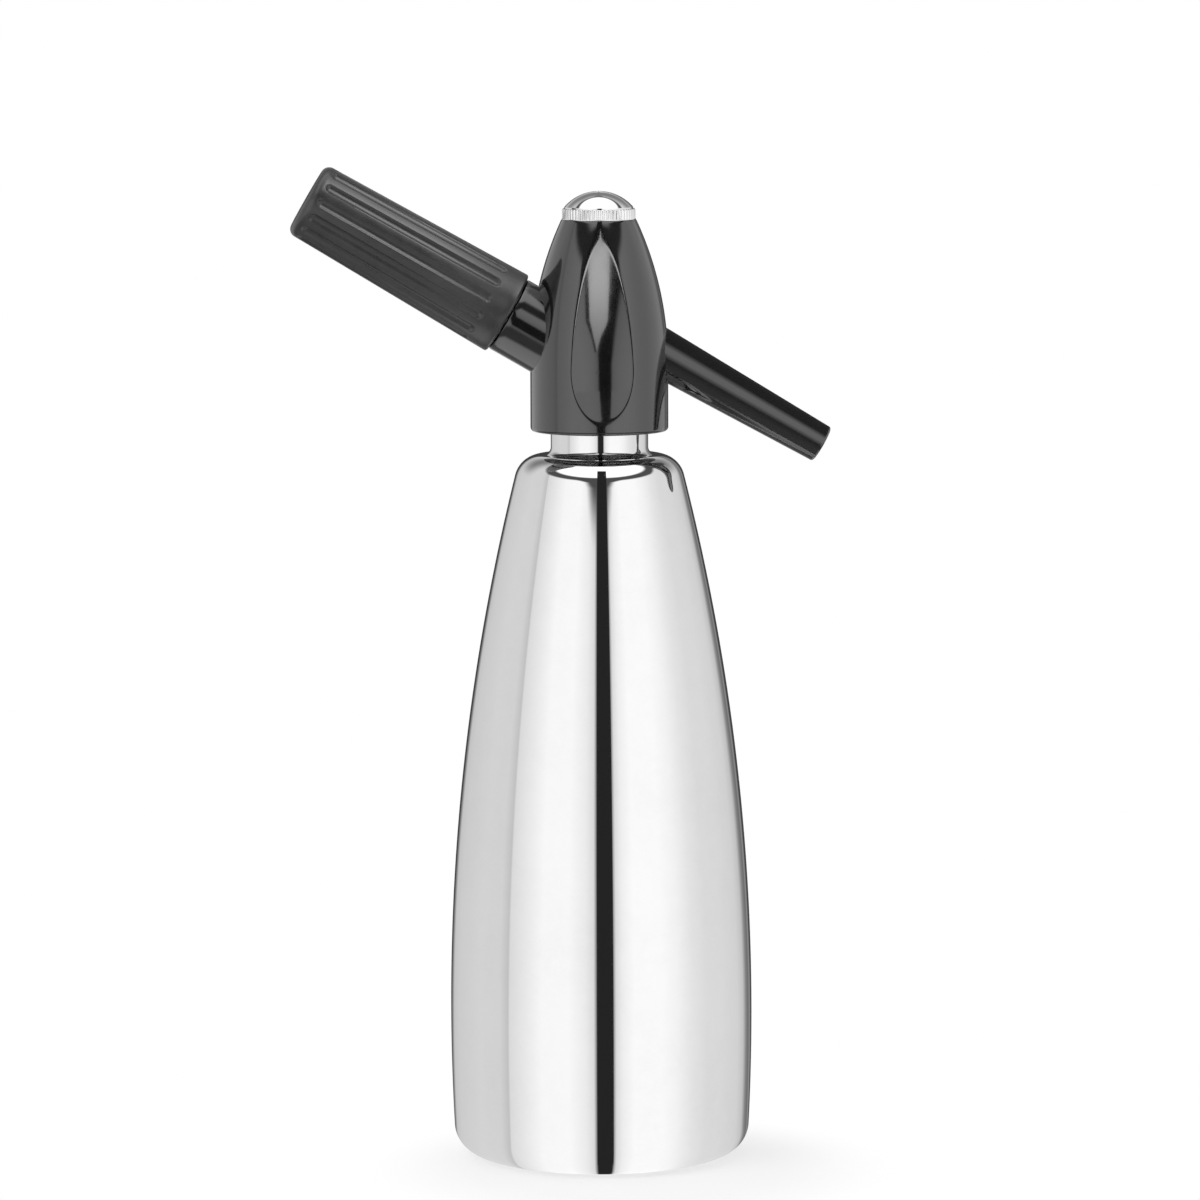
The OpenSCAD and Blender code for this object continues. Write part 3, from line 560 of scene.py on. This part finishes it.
cup = run((0, CUP_FLOOR_T), (CUP_R, CUP_FLOOR_T), (CUP_R, INSERT_T), (INSERT_R, INSERT_T),
          (INSERT_R, OPEN_T + MOUTH_BAND), (INSERT_R, OPEN_T), (OPEN_R - LIP, OPEN_T))
around = FLUTES * FLUTE_STEPS
angle = np.linspace(0, 2 * np.pi, around, endpoint=False)[:, None]
off = (angle - FLUTE_TURN + np.pi / FLUTES) % (2 * np.pi / FLUTES) - np.pi / FLUTES
t = sleeve[None, :, 1] + 0 * angle
side_r = sleeve[None, :, 0] + 0 * angle
full = OPEN_R - (t - OPEN_T) * (OPEN_R - CLOSED_R) / HOLDER_LEN
past_end = np.maximum(np.maximum(ends[0] - t, t - ends[1]), 0)
bar = np.maximum(FLUTE_R ** 2 - past_end ** 2, 0)
c = full + FLUTE_R - FLUTE_DEPTH
reach = bar - (c * np.sin(off)) ** 2
groove = np.where(reach > 0, c * np.cos(off) - np.sqrt(np.maximum(reach, 0)), FAR_OUT)
r = np.where(groove < FAR_OUT, soft_min(side_r, groove, FLUTE_EASE), side_r)
ribbed = np.stack([r * np.cos(angle), r * np.sin(angle), t], -1)
cup_skin = turned(cup, around)
holder = skin("holder_sleeve", np.concatenate([ribbed, cup_skin], 1), frame_axes=ON_ARM, crease=40)
dress(holder, "holder", "satin_black", "charger_holder")

# %% [markdown]
# ## Button, ring and charger
# The button is a chrome dome, guided by a knurled ring. The knurl is a wave in the radius, 58 teeth
# round. The gas charger inside the holder is a little steel bottle with round shoulders.

# %% Button, ring and charger
BUTTON_R, BUTTON_EDGE, DOME_R = 11.3, 314.3, 14.9
BORE_TOP = 311.5  # end of the bore that takes the stem
# From the rim inwards: skirt, room for the spring, boss and the stem's bore
BUTTON_STEPS = [(BUTTON_R, 313.0), (9.5, 314.5), (4.2, 308.5), (2.0, BORE_TOP)]
dome_z = BUTTON_EDGE - math.sqrt(DOME_R ** 2 - BUTTON_R ** 2)
dome_tilt = math.degrees(math.asin(BUTTON_R / DOME_R))
button_profile = joined(arc(0, dome_z, DOME_R, 90, 90 - dome_tilt, 40),
                        stepped(BUTTON_EDGE, BUTTON_STEPS),
                        run((0, BORE_TOP)))
dress(skin("button_dome", turned(button_profile, 128)), "button", "bright_chrome", "push_button")

TEETH, KNURL = 58, 0.32  # count and depth of the knurl
KNURLED = slice(4, 6)  # the two points of the ring's profile that the knurl cuts
RING_R, RING_LOW, RING_TOP, RING_BEVEL = 12.05, 304.3, 313.8, 0.25
SPIGOT_R, FLANGE_R, FLANGE_TOP = 10.9, 12.15, 310.5
KNURL_LOW, KNURL_HIGH = 310.52, 313.45
GUIDE_R, GUIDE_LOW, RING_BORE = 11.45, 310.6, 9.9
around = TEETH * 8
angle = np.linspace(0, 2 * np.pi, around, endpoint=False)[:, None]
tooth = 0.5 + 0.5 * np.cos(angle * TEETH)
ring_profile = run((SPIGOT_R, RING_LOW), (SPIGOT_R, HEAD_TOP), (FLANGE_R, HEAD_TOP), (FLANGE_R, FLANGE_TOP),
                   (RING_R, KNURL_LOW), (RING_R, KNURL_HIGH), (RING_R - RING_BEVEL, RING_TOP),
                   (GUIDE_R, RING_TOP), (GUIDE_R, GUIDE_LOW), (RING_BORE, GUIDE_LOW), (RING_BORE, RING_LOW))
cut = np.zeros(len(ring_profile))
cut[KNURLED] = 1
r = ring_profile[None, :, 0] - KNURL * cut * (1 - tooth)
points = np.stack([r * np.cos(angle), r * np.sin(angle), ring_profile[None, :, 1] + 0 * r], -1)
ring = skin("knurled_ring", points, loop=True, crease=60)
dress(ring, "head", "bright_chrome", "button_ring", look="knurled_chrome")

CHARGER_R, CHARGER_LEN, CHARGER_WALL = 9.0, 65.5, 1.3
MOUTH_T, MOUTH_R, MOUTH_WALL = 39.5, 1.25, 1.6  # the pierced mouth
LIP_R, LIP_EDGE, THROAT_R = 4.1, 0.3, 4.4
NECK_LEN = 18
BORE_TILT, BORE_END_R = 66.2, 3.1  # where the inside of the shoulder ends
base_t = MOUTH_T + CHARGER_LEN - CHARGER_R
neck_t = MOUTH_T + NECK_LEN
bore_t = MOUTH_T + MOUTH_WALL
neck_tilt = math.degrees(math.acos(THROAT_R / CHARGER_R))
charger_profile = joined(run((MOUTH_R, bore_t), (MOUTH_R, MOUTH_T), (LIP_R, MOUTH_T),
                             (THROAT_R, MOUTH_T + LIP_EDGE), step=0.5),
                         arc(0, neck_t, CHARGER_R, -neck_tilt, 0, 20),
                         arc(0, base_t, CHARGER_R, 0, 90, 24))
bore = joined(arc(0, base_t, CHARGER_R - CHARGER_WALL, 90, 0, 12),
              arc(0, neck_t, CHARGER_R - CHARGER_WALL, 0, -BORE_TILT, 12),
              run((BORE_END_R, bore_t), (MOUTH_R, bore_t)))
charger = skin("charger_bulb", turned(np.concatenate([bore, charger_profile[1:]]), 72), frame_axes=ON_ARM)
dress(charger, "charger", "bright_steel", "gas_charger")

# %% [markdown]
# ## The return spring
# The spring under the button is a round wire on a helix. It gets shorter when the button is pressed, and it
# stands on the guide. It gets a mesh of its own.

# %% Spring
SPRING_LOW, SPRING_HIGH = 295.6, 314.5
WIRE_R, COIL_R, TURNS = 0.55, 5.6, 6
WIRE_STEPS, WIRE_SIDES = 40, 12  # stations in a turn, points round the wire
WIRE_ENDS = 400  # the wire closes over the first and the last part in 400
u = np.linspace(0, 1, TURNS * WIRE_STEPS + 1)[None, :]
k = np.linspace(0, 2 * np.pi, WIRE_SIDES, endpoint=False)[:, None]
swell = np.clip(np.minimum(u, 1 - u) * WIRE_ENDS, 0, 1)
a = 2 * np.pi * TURNS * u
r = COIL_R + WIRE_R * swell * np.cos(k)
z = SPRING_LOW + WIRE_R + (SPRING_HIGH - SPRING_LOW - 2 * WIRE_R) * u + WIRE_R * swell * np.sin(k)
spring = skin("spring_wire", np.stack([r * np.cos(a), r * np.sin(a), z], -1), crease=60)
dress(spring, "head", "bright_steel", "return_spring")
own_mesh(spring)

# %% [markdown]
# ## The inner pieces
# The seals, the riser tube, the valve and the piercing pin stay as the CAD model has them. They only get the
# finish that the record names for them.

# %% Finishes of the CAD nodes that still show
slots = {part["node"]: part["material_slot"] for part in frame["record"]["subparts"]}
kept = [name for name, node in cad.items() if not node.hide_render]
for name in kept:
    cad[name].data.materials.clear()
    cad[name].data.materials.append(finishes[slots[name]])
print("CAD nodes that still show:", kept)

# %% [markdown]
# ## Floor and studio
# Mirror steel is only as good as what it mirrors. The studio here is a world whose brightness is drawn by
# direction: a ring of upright cards, bright at the front, quieter at the sides and dark behind, with a narrow
# dark gap where the camera stands. That gap draws the black line down the bottle. Above the ring is a dark
# slit and then one big bright panel overhead. A mirror turns a ray by twice the tilt of its surface. So the
# cards are laid out by twice the angle atan2(x, c - y), where c is the view's own share along y, and each
# card's edge then follows a line straight down the bottle, over its shoulder and round its base.
#
# The camera itself sees plain white. The floor is white with a faint shadow. To mirror rays it is clear, so
# that the cards run on below it, apart from a dark table some way out that only steep rays meet. That dark
# table gives the black holder and the arm their dark undersides.

# %% Floor
def smooth_step(tree, value, low, high):
    """A soft switch from 0 to 1 while the value goes from low to high."""
    node = tree.nodes.new("ShaderNodeMapRange")
    node.interpolation_type = "SMOOTHSTEP"
    node.inputs["From Min"].default_value = low
    node.inputs["From Max"].default_value = high
    tree.links.new(value, node.inputs["Value"])
    return node.outputs[0]


def mixed(tree, factor, first, second):
    """A mix of two shaders."""
    node = tree.nodes.new("ShaderNodeMixShader")
    tree.links.new(factor, node.inputs[0])
    tree.links.new(first, node.inputs[1])
    tree.links.new(second, node.inputs[2])
    return node.outputs[0]


FLOOR_HALF, FLOOR_CELLS, FLOOR_DROP = 6.0, 12, 0.0002
SHADOW_AT = (0.008, -0.03, 0)  # middle of the shadow
SHADOW_IN, SHADOW_OUT = 0.045, 0.09  # the shadow fades between these distances
SHADOW_WHITE = 0.6  # share of plain white within the shadow
TABLE_IN, TABLE_OUT = 0.2, 0.26  # the dark table starts between these distances
STEEP_LOW, STEEP_HIGH = 0.3, 0.5  # sine of a ray's slope from which it meets the table
lane = np.linspace(-FLOOR_HALF, FLOOR_HALF, FLOOR_CELLS + 1)
gx, gy = np.meshgrid(lane, lane, indexing="ij")
i, j = np.meshgrid(np.arange(FLOOR_CELLS), np.arange(FLOOR_CELLS), indexing="ij")
first = i * (FLOOR_CELLS + 1) + j
quads = np.stack([first, first + FLOOR_CELLS + 1, first + FLOOR_CELLS + 2, first + 1], -1).reshape(-1, 4)
mesh = bpy.data.meshes.new("floor")
mesh.from_pydata(np.stack([gx, gy, 0 * gx - FLOOR_DROP], -1).reshape(-1, 3).tolist(), [], quads.tolist())
floor = bpy.data.objects.new("floor", mesh)
bpy.context.scene.collection.objects.link(floor)
paper = bpy.data.materials.new("studio_floor")
paper.use_nodes = True
tree = paper.node_tree
tree.nodes.clear()
out = tree.nodes.new("ShaderNodeOutputMaterial")
diffuse, glow = tree.nodes.new("ShaderNodeBsdfDiffuse"), tree.nodes.new("ShaderNodeEmission")
clear, table = tree.nodes.new("ShaderNodeBsdfTransparent"), tree.nodes.new("ShaderNodeEmission")
diffuse.inputs["Color"].default_value = (0.97, 0.97, 0.97, 1)
table.inputs["Color"].default_value = (0.2, 0.2, 0.2, 1)
path, spot = tree.nodes.new("ShaderNodeLightPath"), tree.nodes.new("ShaderNodeTexCoord")
tilt_to_ray = tree.nodes.new("ShaderNodeLayerWeight")
away, beyond = tree.nodes.new("ShaderNodeVectorMath"), tree.nodes.new("ShaderNodeVectorMath")
away.operation, beyond.operation = "LENGTH", "DISTANCE"
beyond.inputs[1].default_value = SHADOW_AT
for node in (away, beyond):
    tree.links.new(spot.outputs["Object"], node.inputs[0])
past_shadow = smooth_step(tree, beyond.outputs["Value"], SHADOW_IN, SHADOW_OUT)
whiter = sums(tree, "MULTIPLY_ADD", past_shadow, 1 - SHADOW_WHITE, SHADOW_WHITE)
plain_white = sums(tree, "MULTIPLY", path.outputs["Is Camera Ray"], whiter)
lit = mixed(tree, plain_white, diffuse.outputs[0], glow.outputs[0])
slope = sums(tree, "SUBTRACT", 1.0, tilt_to_ray.outputs["Facing"])
steep = smooth_step(tree, slope, STEEP_LOW, STEEP_HIGH)
dark = sums(tree, "MULTIPLY", steep, smooth_step(tree, away.outputs["Value"], TABLE_IN, TABLE_OUT))
mirrored = mixed(tree, dark, clear.outputs[0], table.outputs[0])
tree.links.new(mixed(tree, path.outputs["Is Glossy Ray"], lit, mirrored), out.inputs["Surface"])
mesh.materials.append(paper)
print("floor:", len(mesh.polygons), "faces")

# %% Cards and panel
CAMERA_SIDE = -2.9  # degrees by which the camera stands round to one side
# Brightness of the cards by twice the bearing in degrees, from behind over the left, front and right
CARDS = [(-180, 0.05), (-166, 0.05), (-159.5, 0.25), (-153.5, 0.60), (-140, 0.67), (-106, 0.74),
         (-84, 0.73), (-77.5, 0.63), (-76, 0.60), (-74.5, 0.80), (-60, 0.93), (-46, 1.07), (-25, 1.08),
         (-12, 0.95), (-5, 0.78), (-3.5, 0.02), (9, 0.02), (10.5, 0.78), (16, 0.98), (25, 1.10),
         (47, 1.10), (60, 1.02), (74, 0.88), (88, 0.80), (106, 0.78), (128, 0.72), (139, 0.60),
         (146, 0.26), (153, 0.16), (158, 0.30), (163, 0.06), (180, 0.05)]
PANEL, SLIT, BACK, GAP = 1.3, 0.08, 0.22, 0.02  # brightness of the panel, the slit, the back and the gap
VIEW_DEPTH = 0.988  # the view's own share along y
PANEL_LEAN = -0.145  # the panel's edge rises by this share of the depth
SLIT_EDGE, PANEL_EDGE = (0.57, 0.64), (0.75, 0.81)  # heights where the slit and the panel start
LOW_BESIDE, BESIDE = 0.12, (0.3, 0.05)  # the cards are this much lower within these bearings
TALL_BEHIND = -0.2  # and taller by this share of the depth behind the siphon
BACK_DEPTH, BACK_HEIGHT = (0.3, 0.75), (0.2, 0.55)  # the back sets in over this depth and height
GAP_LEFT, GAP_RIGHT = (-0.0308, -0.0278), (0.0822, 0.0787)  # bearings of the gap's edges
GAP_DEPTH = (-0.25, -0.3)  # the gap lies in front of this depth
world = bpy.data.worlds.new("studio")
bpy.context.scene.world = world
world.use_nodes = True
tree = world.node_tree
tree.nodes.clear()
out = tree.nodes.new("ShaderNodeOutputWorld")
coords, turned_to = tree.nodes.new("ShaderNodeTexCoord"), tree.nodes.new("ShaderNodeVectorRotate")
turned_to.rotation_type = "Z_AXIS"
turned_to.inputs["Angle"].default_value = -math.radians(CAMERA_SIDE)
tree.links.new(coords.outputs["Generated"], turned_to.inputs["Vector"])
split = tree.nodes.new("ShaderNodeSeparateXYZ")
tree.links.new(turned_to.outputs[0], split.inputs[0])
side, depth, height = split.outputs
bearing = sums(tree, "ARCTAN2", side, sums(tree, "SUBTRACT", VIEW_DEPTH, depth))
ramp = tree.nodes.new("ShaderNodeValToRGB")
tree.links.new(sums(tree, "MULTIPLY_ADD", bearing, 1 / math.pi, 0.5), ramp.inputs[0])
stops = ramp.color_ramp.elements
for n, (degrees, level) in enumerate(CARDS):
    stop = stops[n] if n < 2 else stops.new(1.0)
    stop.position = (degrees + 180) / 360
    stop.color = (level, level, level, 1)
# The panel hangs a little towards the camera, so its edge is higher behind. The cards are lower beside the
# gap and taller behind
lifted = sums(tree, "MULTIPLY_ADD", depth, PANEL_LEAN, height)
beside = smooth_step(tree, sums(tree, "ABSOLUTE", bearing), *BESIDE)
card_top = sums(tree, "MULTIPLY_ADD", beside, LOW_BESIDE, lifted)
card_top = sums(tree, "MULTIPLY_ADD", sums(tree, "MAXIMUM", depth, 0.0), TALL_BEHIND, card_top)
slit = smooth_step(tree, card_top, *SLIT_EDGE)
panel = smooth_step(tree, lifted, *PANEL_EDGE)
far_back = smooth_step(tree, depth, *BACK_DEPTH)
behind = sums(tree, "MULTIPLY", far_back, smooth_step(tree, height, *BACK_HEIGHT))
gap = sums(tree, "MULTIPLY", smooth_step(tree, bearing, *GAP_LEFT), smooth_step(tree, bearing, *GAP_RIGHT))
gap = sums(tree, "MULTIPLY", gap, smooth_step(tree, depth, *GAP_DEPTH))
level = ramp.outputs[0]
for weight, target in ((slit, SLIT), (behind, BACK), (panel, PANEL), (gap, GAP)):
    layer = tree.nodes.new("ShaderNodeMix")
    layer.data_type = "RGBA"
    layer.inputs["B"].default_value = (target, target, target, 1)
    tree.links.new(weight, layer.inputs["Factor"])
    tree.links.new(level, layer.inputs["A"])
    level = layer.outputs["Result"]
studio, plain = tree.nodes.new("ShaderNodeBackground"), tree.nodes.new("ShaderNodeBackground")
tree.links.new(level, studio.inputs["Color"])
plain.inputs["Color"].default_value = (1, 1, 1, 1)
path = tree.nodes.new("ShaderNodeLightPath")
seen = mixed(tree, path.outputs["Is Camera Ray"], studio.outputs[0], plain.outputs[0])
tree.links.new(seen, out.inputs["Surface"])
print("cards:", len(CARDS), "stops round the siphon")

# %% [markdown]
# ## Four bent cards
# Some reflections belong to one piece alone: the long bright flame in the head's hollow, the even grey at the
# hollow's lower end, and the broad bands along spout and holder. Each comes from a small card close by. A
# card is bent round the point or line from which the rays of its piece spread, so they meet it nearly square
# on. Only mirror rays that come in close to square see it. For all others it is clear, so from the camera's
# side the steel and the other black pieces mirror what lies behind it. How bright each place of a card is
# rides on its mesh as the attribute glow.

# %% Bent cards
def bent_card(name, points, glow, square):
    """A card over a grid of points in mm, seen by mirror rays whose 1 - cos(angle) is under square."""
    rows, columns = glow.shape
    i, j = np.meshgrid(np.arange(rows - 1), np.arange(columns - 1), indexing="ij")
    first = i * columns + j
    quads = np.stack([first, first + 1, first + columns + 1, first + columns], -1).reshape(-1, 4)
    mesh = bpy.data.meshes.new(name)
    mesh.from_pydata((points * MM).reshape(-1, 3).tolist(), [], quads.tolist())
    mesh.polygons.foreach_set("use_smooth", np.ones(len(quads), bool))
    mesh.attributes.new("glow", "FLOAT", "POINT").data.foreach_set("value", glow.astype(np.float32).ravel())
    piece = bpy.data.objects.new(name, mesh)
    bpy.context.scene.collection.objects.link(piece)
    piece.visible_camera = piece.visible_diffuse = piece.visible_shadow = False
    card = bpy.data.materials.new(name)
    card.use_nodes = True
    card.cycles.emission_sampling = "NONE"
    tree = card.node_tree
    tree.nodes.clear()
    out, clear = tree.nodes.new("ShaderNodeOutputMaterial"), tree.nodes.new("ShaderNodeBsdfTransparent")
    light, path = tree.nodes.new("ShaderNodeEmission"), tree.nodes.new("ShaderNodeLightPath")
    level = tree.nodes.new("ShaderNodeAttribute")
    level.attribute_name = "glow"
    tree.links.new(level.outputs["Fac"], light.inputs["Strength"])
    facing = tree.nodes.new("ShaderNodeLayerWeight").outputs["Facing"]
    near_square = smooth_step(tree, facing, square, square / 2)
    seen = sums(tree, "MULTIPLY", path.outputs["Is Glossy Ray"], near_square)
    tree.links.new(mixed(tree, seen, clear.outputs[0], light.outputs[0]), out.inputs["Surface"])
    mesh.materials.append(card)
    print(f"{name}: {len(quads)} faces, glow {glow.min():.2f} to {glow.max():.2f}")


def eased(value, low, high):
    """A soft switch from 0 to 1 while the value goes from low to high."""
    u = np.clip((value - low) / (high - low), 0, 1)
    return u * u * (3 - 2 * u)


# The flame: a bowl in front of the hollow, with a black border on its left. The tables give the sideways
# place of an edge in millimetres by the bowl's rise in degrees
BOWL_AT, BOWL_R = np.array([38.0, 276.0]), 157.0  # the bowl's centre along y and z, and its radius
BOWL_SIDE, BOWL_X = 70.0, 1.4  # its sideways radius and middle
EDGE_GAP = 0.02
FLAME_LEFT = [(-8, 12.0), (-2.4, 14.6), (2.4, 15.8), (12.4, 12.4), (22.4, 9.3), (28.4, 5.8), (36, 4.2)]
FLAME_RIGHT = [(-8, 11.6), (-2.6, 5.7), (0, 1.6), (2.4, 0.0), (12.4, 0.9), (22.4, 2.4), (36, 3.9)]
BORDER = [(-8, 14.5), (2.4, 19.2), (12.4, 14.4), (22.4, 10.6), (36, 4.8)]
FLAME_LOW, FLAME_HIGH = 1.6, 3.6  # glow at the flame's foot and top
FLAME_RISE = (250, 330)  # heights between which the glow grows
FLAME_SQUARE = 0.0038
rise = np.linspace(-8, 36, 130)


def edge_of(table):
    """The sideways place of an edge at each rise, as a column."""
    return np.interp(rise, *np.array(table).T)[:, None]


left, right_edge, border = edge_of(FLAME_LEFT), edge_of(FLAME_RIGHT), edge_of(BORDER)
share, rim = np.linspace(0, 1, 13), np.linspace(0, 1, 3)
across = np.concatenate([right_edge + (left - right_edge) * share,
                         left + EDGE_GAP + (border - left) * rim], 1)
slant = np.radians(rise)[:, None] + 0 * across
bowl = BOWL_R - (across - BOWL_X) ** 2 / (2 * BOWL_SIDE)
points = np.stack([across, BOWL_AT[0] - bowl * np.cos(slant), BOWL_AT[1] + bowl * np.sin(slant)], -1)
glow = FLAME_LOW + (FLAME_HIGH - FLAME_LOW) * eased(points[..., 2], *FLAME_RISE)
lit_columns = np.concatenate([np.ones(len(share)), np.zeros(len(rim))])
bent_card("flame_card", points, glow * lit_columns, FLAME_SQUARE)

# The hollow's lower end is a small concave mirror, and its rays cross in front of it
CROSSING, REACH = np.array([0, -36.0, 259.5]), 120.0
FOOT_GLOW = [(-50, 0.9), (-20, 1.0), (-7.2, 0.9), (-6.2, 0.02), (6.0, 0.02), (7.0, 0.9), (20, 1.0), (50, 0.9)]
FOOT_LIFT = (15, 51)  # degrees above level that the card covers
FOOT_SQUARE = 0.005
foot_turns, foot_levels = np.array(FOOT_GLOW).T
turn_to = np.radians(np.unique(np.concatenate([np.linspace(-50, 50, 41), foot_turns])))[None, :]
lift = np.radians(np.linspace(*FOOT_LIFT, 26))[:, None]
points = np.stack([np.sin(turn_to) * np.cos(lift),
                   -np.cos(turn_to) * np.cos(lift),
                   np.sin(lift) + 0 * turn_to], -1)
glow = np.interp(np.degrees(turn_to), foot_turns, foot_levels) + 0 * lift
bent_card("foot_card", CROSSING + REACH * points, glow, FOOT_SQUARE)

# The cards of spout and holder arch round their axes, from below over the front and the top. The tables give
# the glow by the angle in degrees
ARCH_R = 100.0
SPOUT_GLOW = [(-130, 0.2), (-40, 0.2), (-10, 0.1), (4, 0.6), (14, 1.0), (36, 1.0), (48, 0.5), (60, 0.08),
              (178, 0.05)]
HOLDER_GLOW = [(-60, 0.5), (-5, 0.5), (6, 0.1), (42, 0.1), (52, 3.5), (74, 4.0), (84, 2.0), (96, 1.5)]
SPOUT_SPAN, SPOUT_TAPER, SPOUT_SQUARE = (32, 118), 0.115, 0.0095
HOLDER_SPAN, HOLDER_TAPER, HOLDER_SQUARE = (45, 113), 0, 0.045


def arch(name, axes, up, span, taper, table, square):
    """A card round a slanted axis, r = ARCH_R - taper * (t - middle), with its glow from a table by angle."""
    swing = np.linspace(table[0][0], table[-1][0], 155)[None, :]
    t = np.linspace(*span, 12)[:, None]
    r = ARCH_R - taper * (t - t.mean())
    points = np.stack([up * r * np.sin(np.radians(swing)), -r * np.cos(np.radians(swing)), t + 0 * swing], -1)
    glow = np.interp(swing, *np.array(table).T) + 0 * t
    bent_card(name, axes[0] + points @ axes[1], glow, square)


arch("spout_card", ON_SPOUT, -1, SPOUT_SPAN, SPOUT_TAPER, SPOUT_GLOW, SPOUT_SQUARE)
arch("holder_card", ON_ARM, 1, HOLDER_SPAN, HOLDER_TAPER, HOLDER_GLOW, HOLDER_SQUARE)

# %% [markdown]
# ## Key light and camera
# One large soft lamp from the upper left puts the faint shadow to the right of the base. The camera stands
# two metres away and a little above the head, with a long lens, turned by the few tenths of a degree that the
# photograph leans.

# %% Key light and camera
def placed(right, up, eye):
    """A placement whose own X is right, own Y is up and own Z points back, away from what it looks at."""
    right, up = np.array(right) / np.linalg.norm(right), np.array(up) / np.linalg.norm(up)
    axes = np.stack([right, up, np.cross(right, up), eye], -1)
    return Matrix(np.concatenate([axes, [[0, 0, 0, 1]]]).tolist())


KEY_AT, KEY_TO = np.array([-1.3, -0.9, 1.5]), np.array([0, 0, 0.15])
key = bpy.data.objects.new("key", bpy.data.lights.new("key", "AREA"))
key.data.shape = "SQUARE"
key.data.size = 1.2
key.data.energy = 9
key.visible_glossy = False
toward = KEY_TO - KEY_AT
across = np.cross(toward, (0, 0, 1))
key.matrix_world = placed(across, np.cross(across, toward), KEY_AT)
bpy.context.scene.collection.objects.link(key)
print("key light:", key.data.energy, "W")

AWAY = 1.94907  # metres from the siphon's axis
RISE = 0.409485  # metres above the floor
DOWN = math.radians(6.584)  # the camera looks down by this angle
LEAN = math.radians(0.19)  # the photograph leans by this angle
FOCAL, SENSOR = 178.13, 36  # millimetres
turn = math.radians(CAMERA_SIDE)
ahead = np.array([-math.sin(turn), math.cos(turn), 0])
right, plumb = np.array([math.cos(turn), math.sin(turn), 0]), np.array([0, 0, 1])
up = ahead * math.sin(DOWN) + plumb * math.cos(DOWN)
camera = bpy.data.objects.new("camera", bpy.data.cameras.new("camera"))
camera.data.sensor_width = SENSOR
camera.data.lens = FOCAL
camera.matrix_world = placed(right * math.cos(LEAN) - up * math.sin(LEAN),
                             right * math.sin(LEAN) + up * math.cos(LEAN), plumb * RISE - ahead * AWAY)
bpy.context.scene.collection.objects.link(camera)
bpy.context.scene.camera = camera
bpy.context.scene.view_settings.view_transform = "Standard"
print("camera at", [round(v, 3) for v in camera.matrix_world.translation])
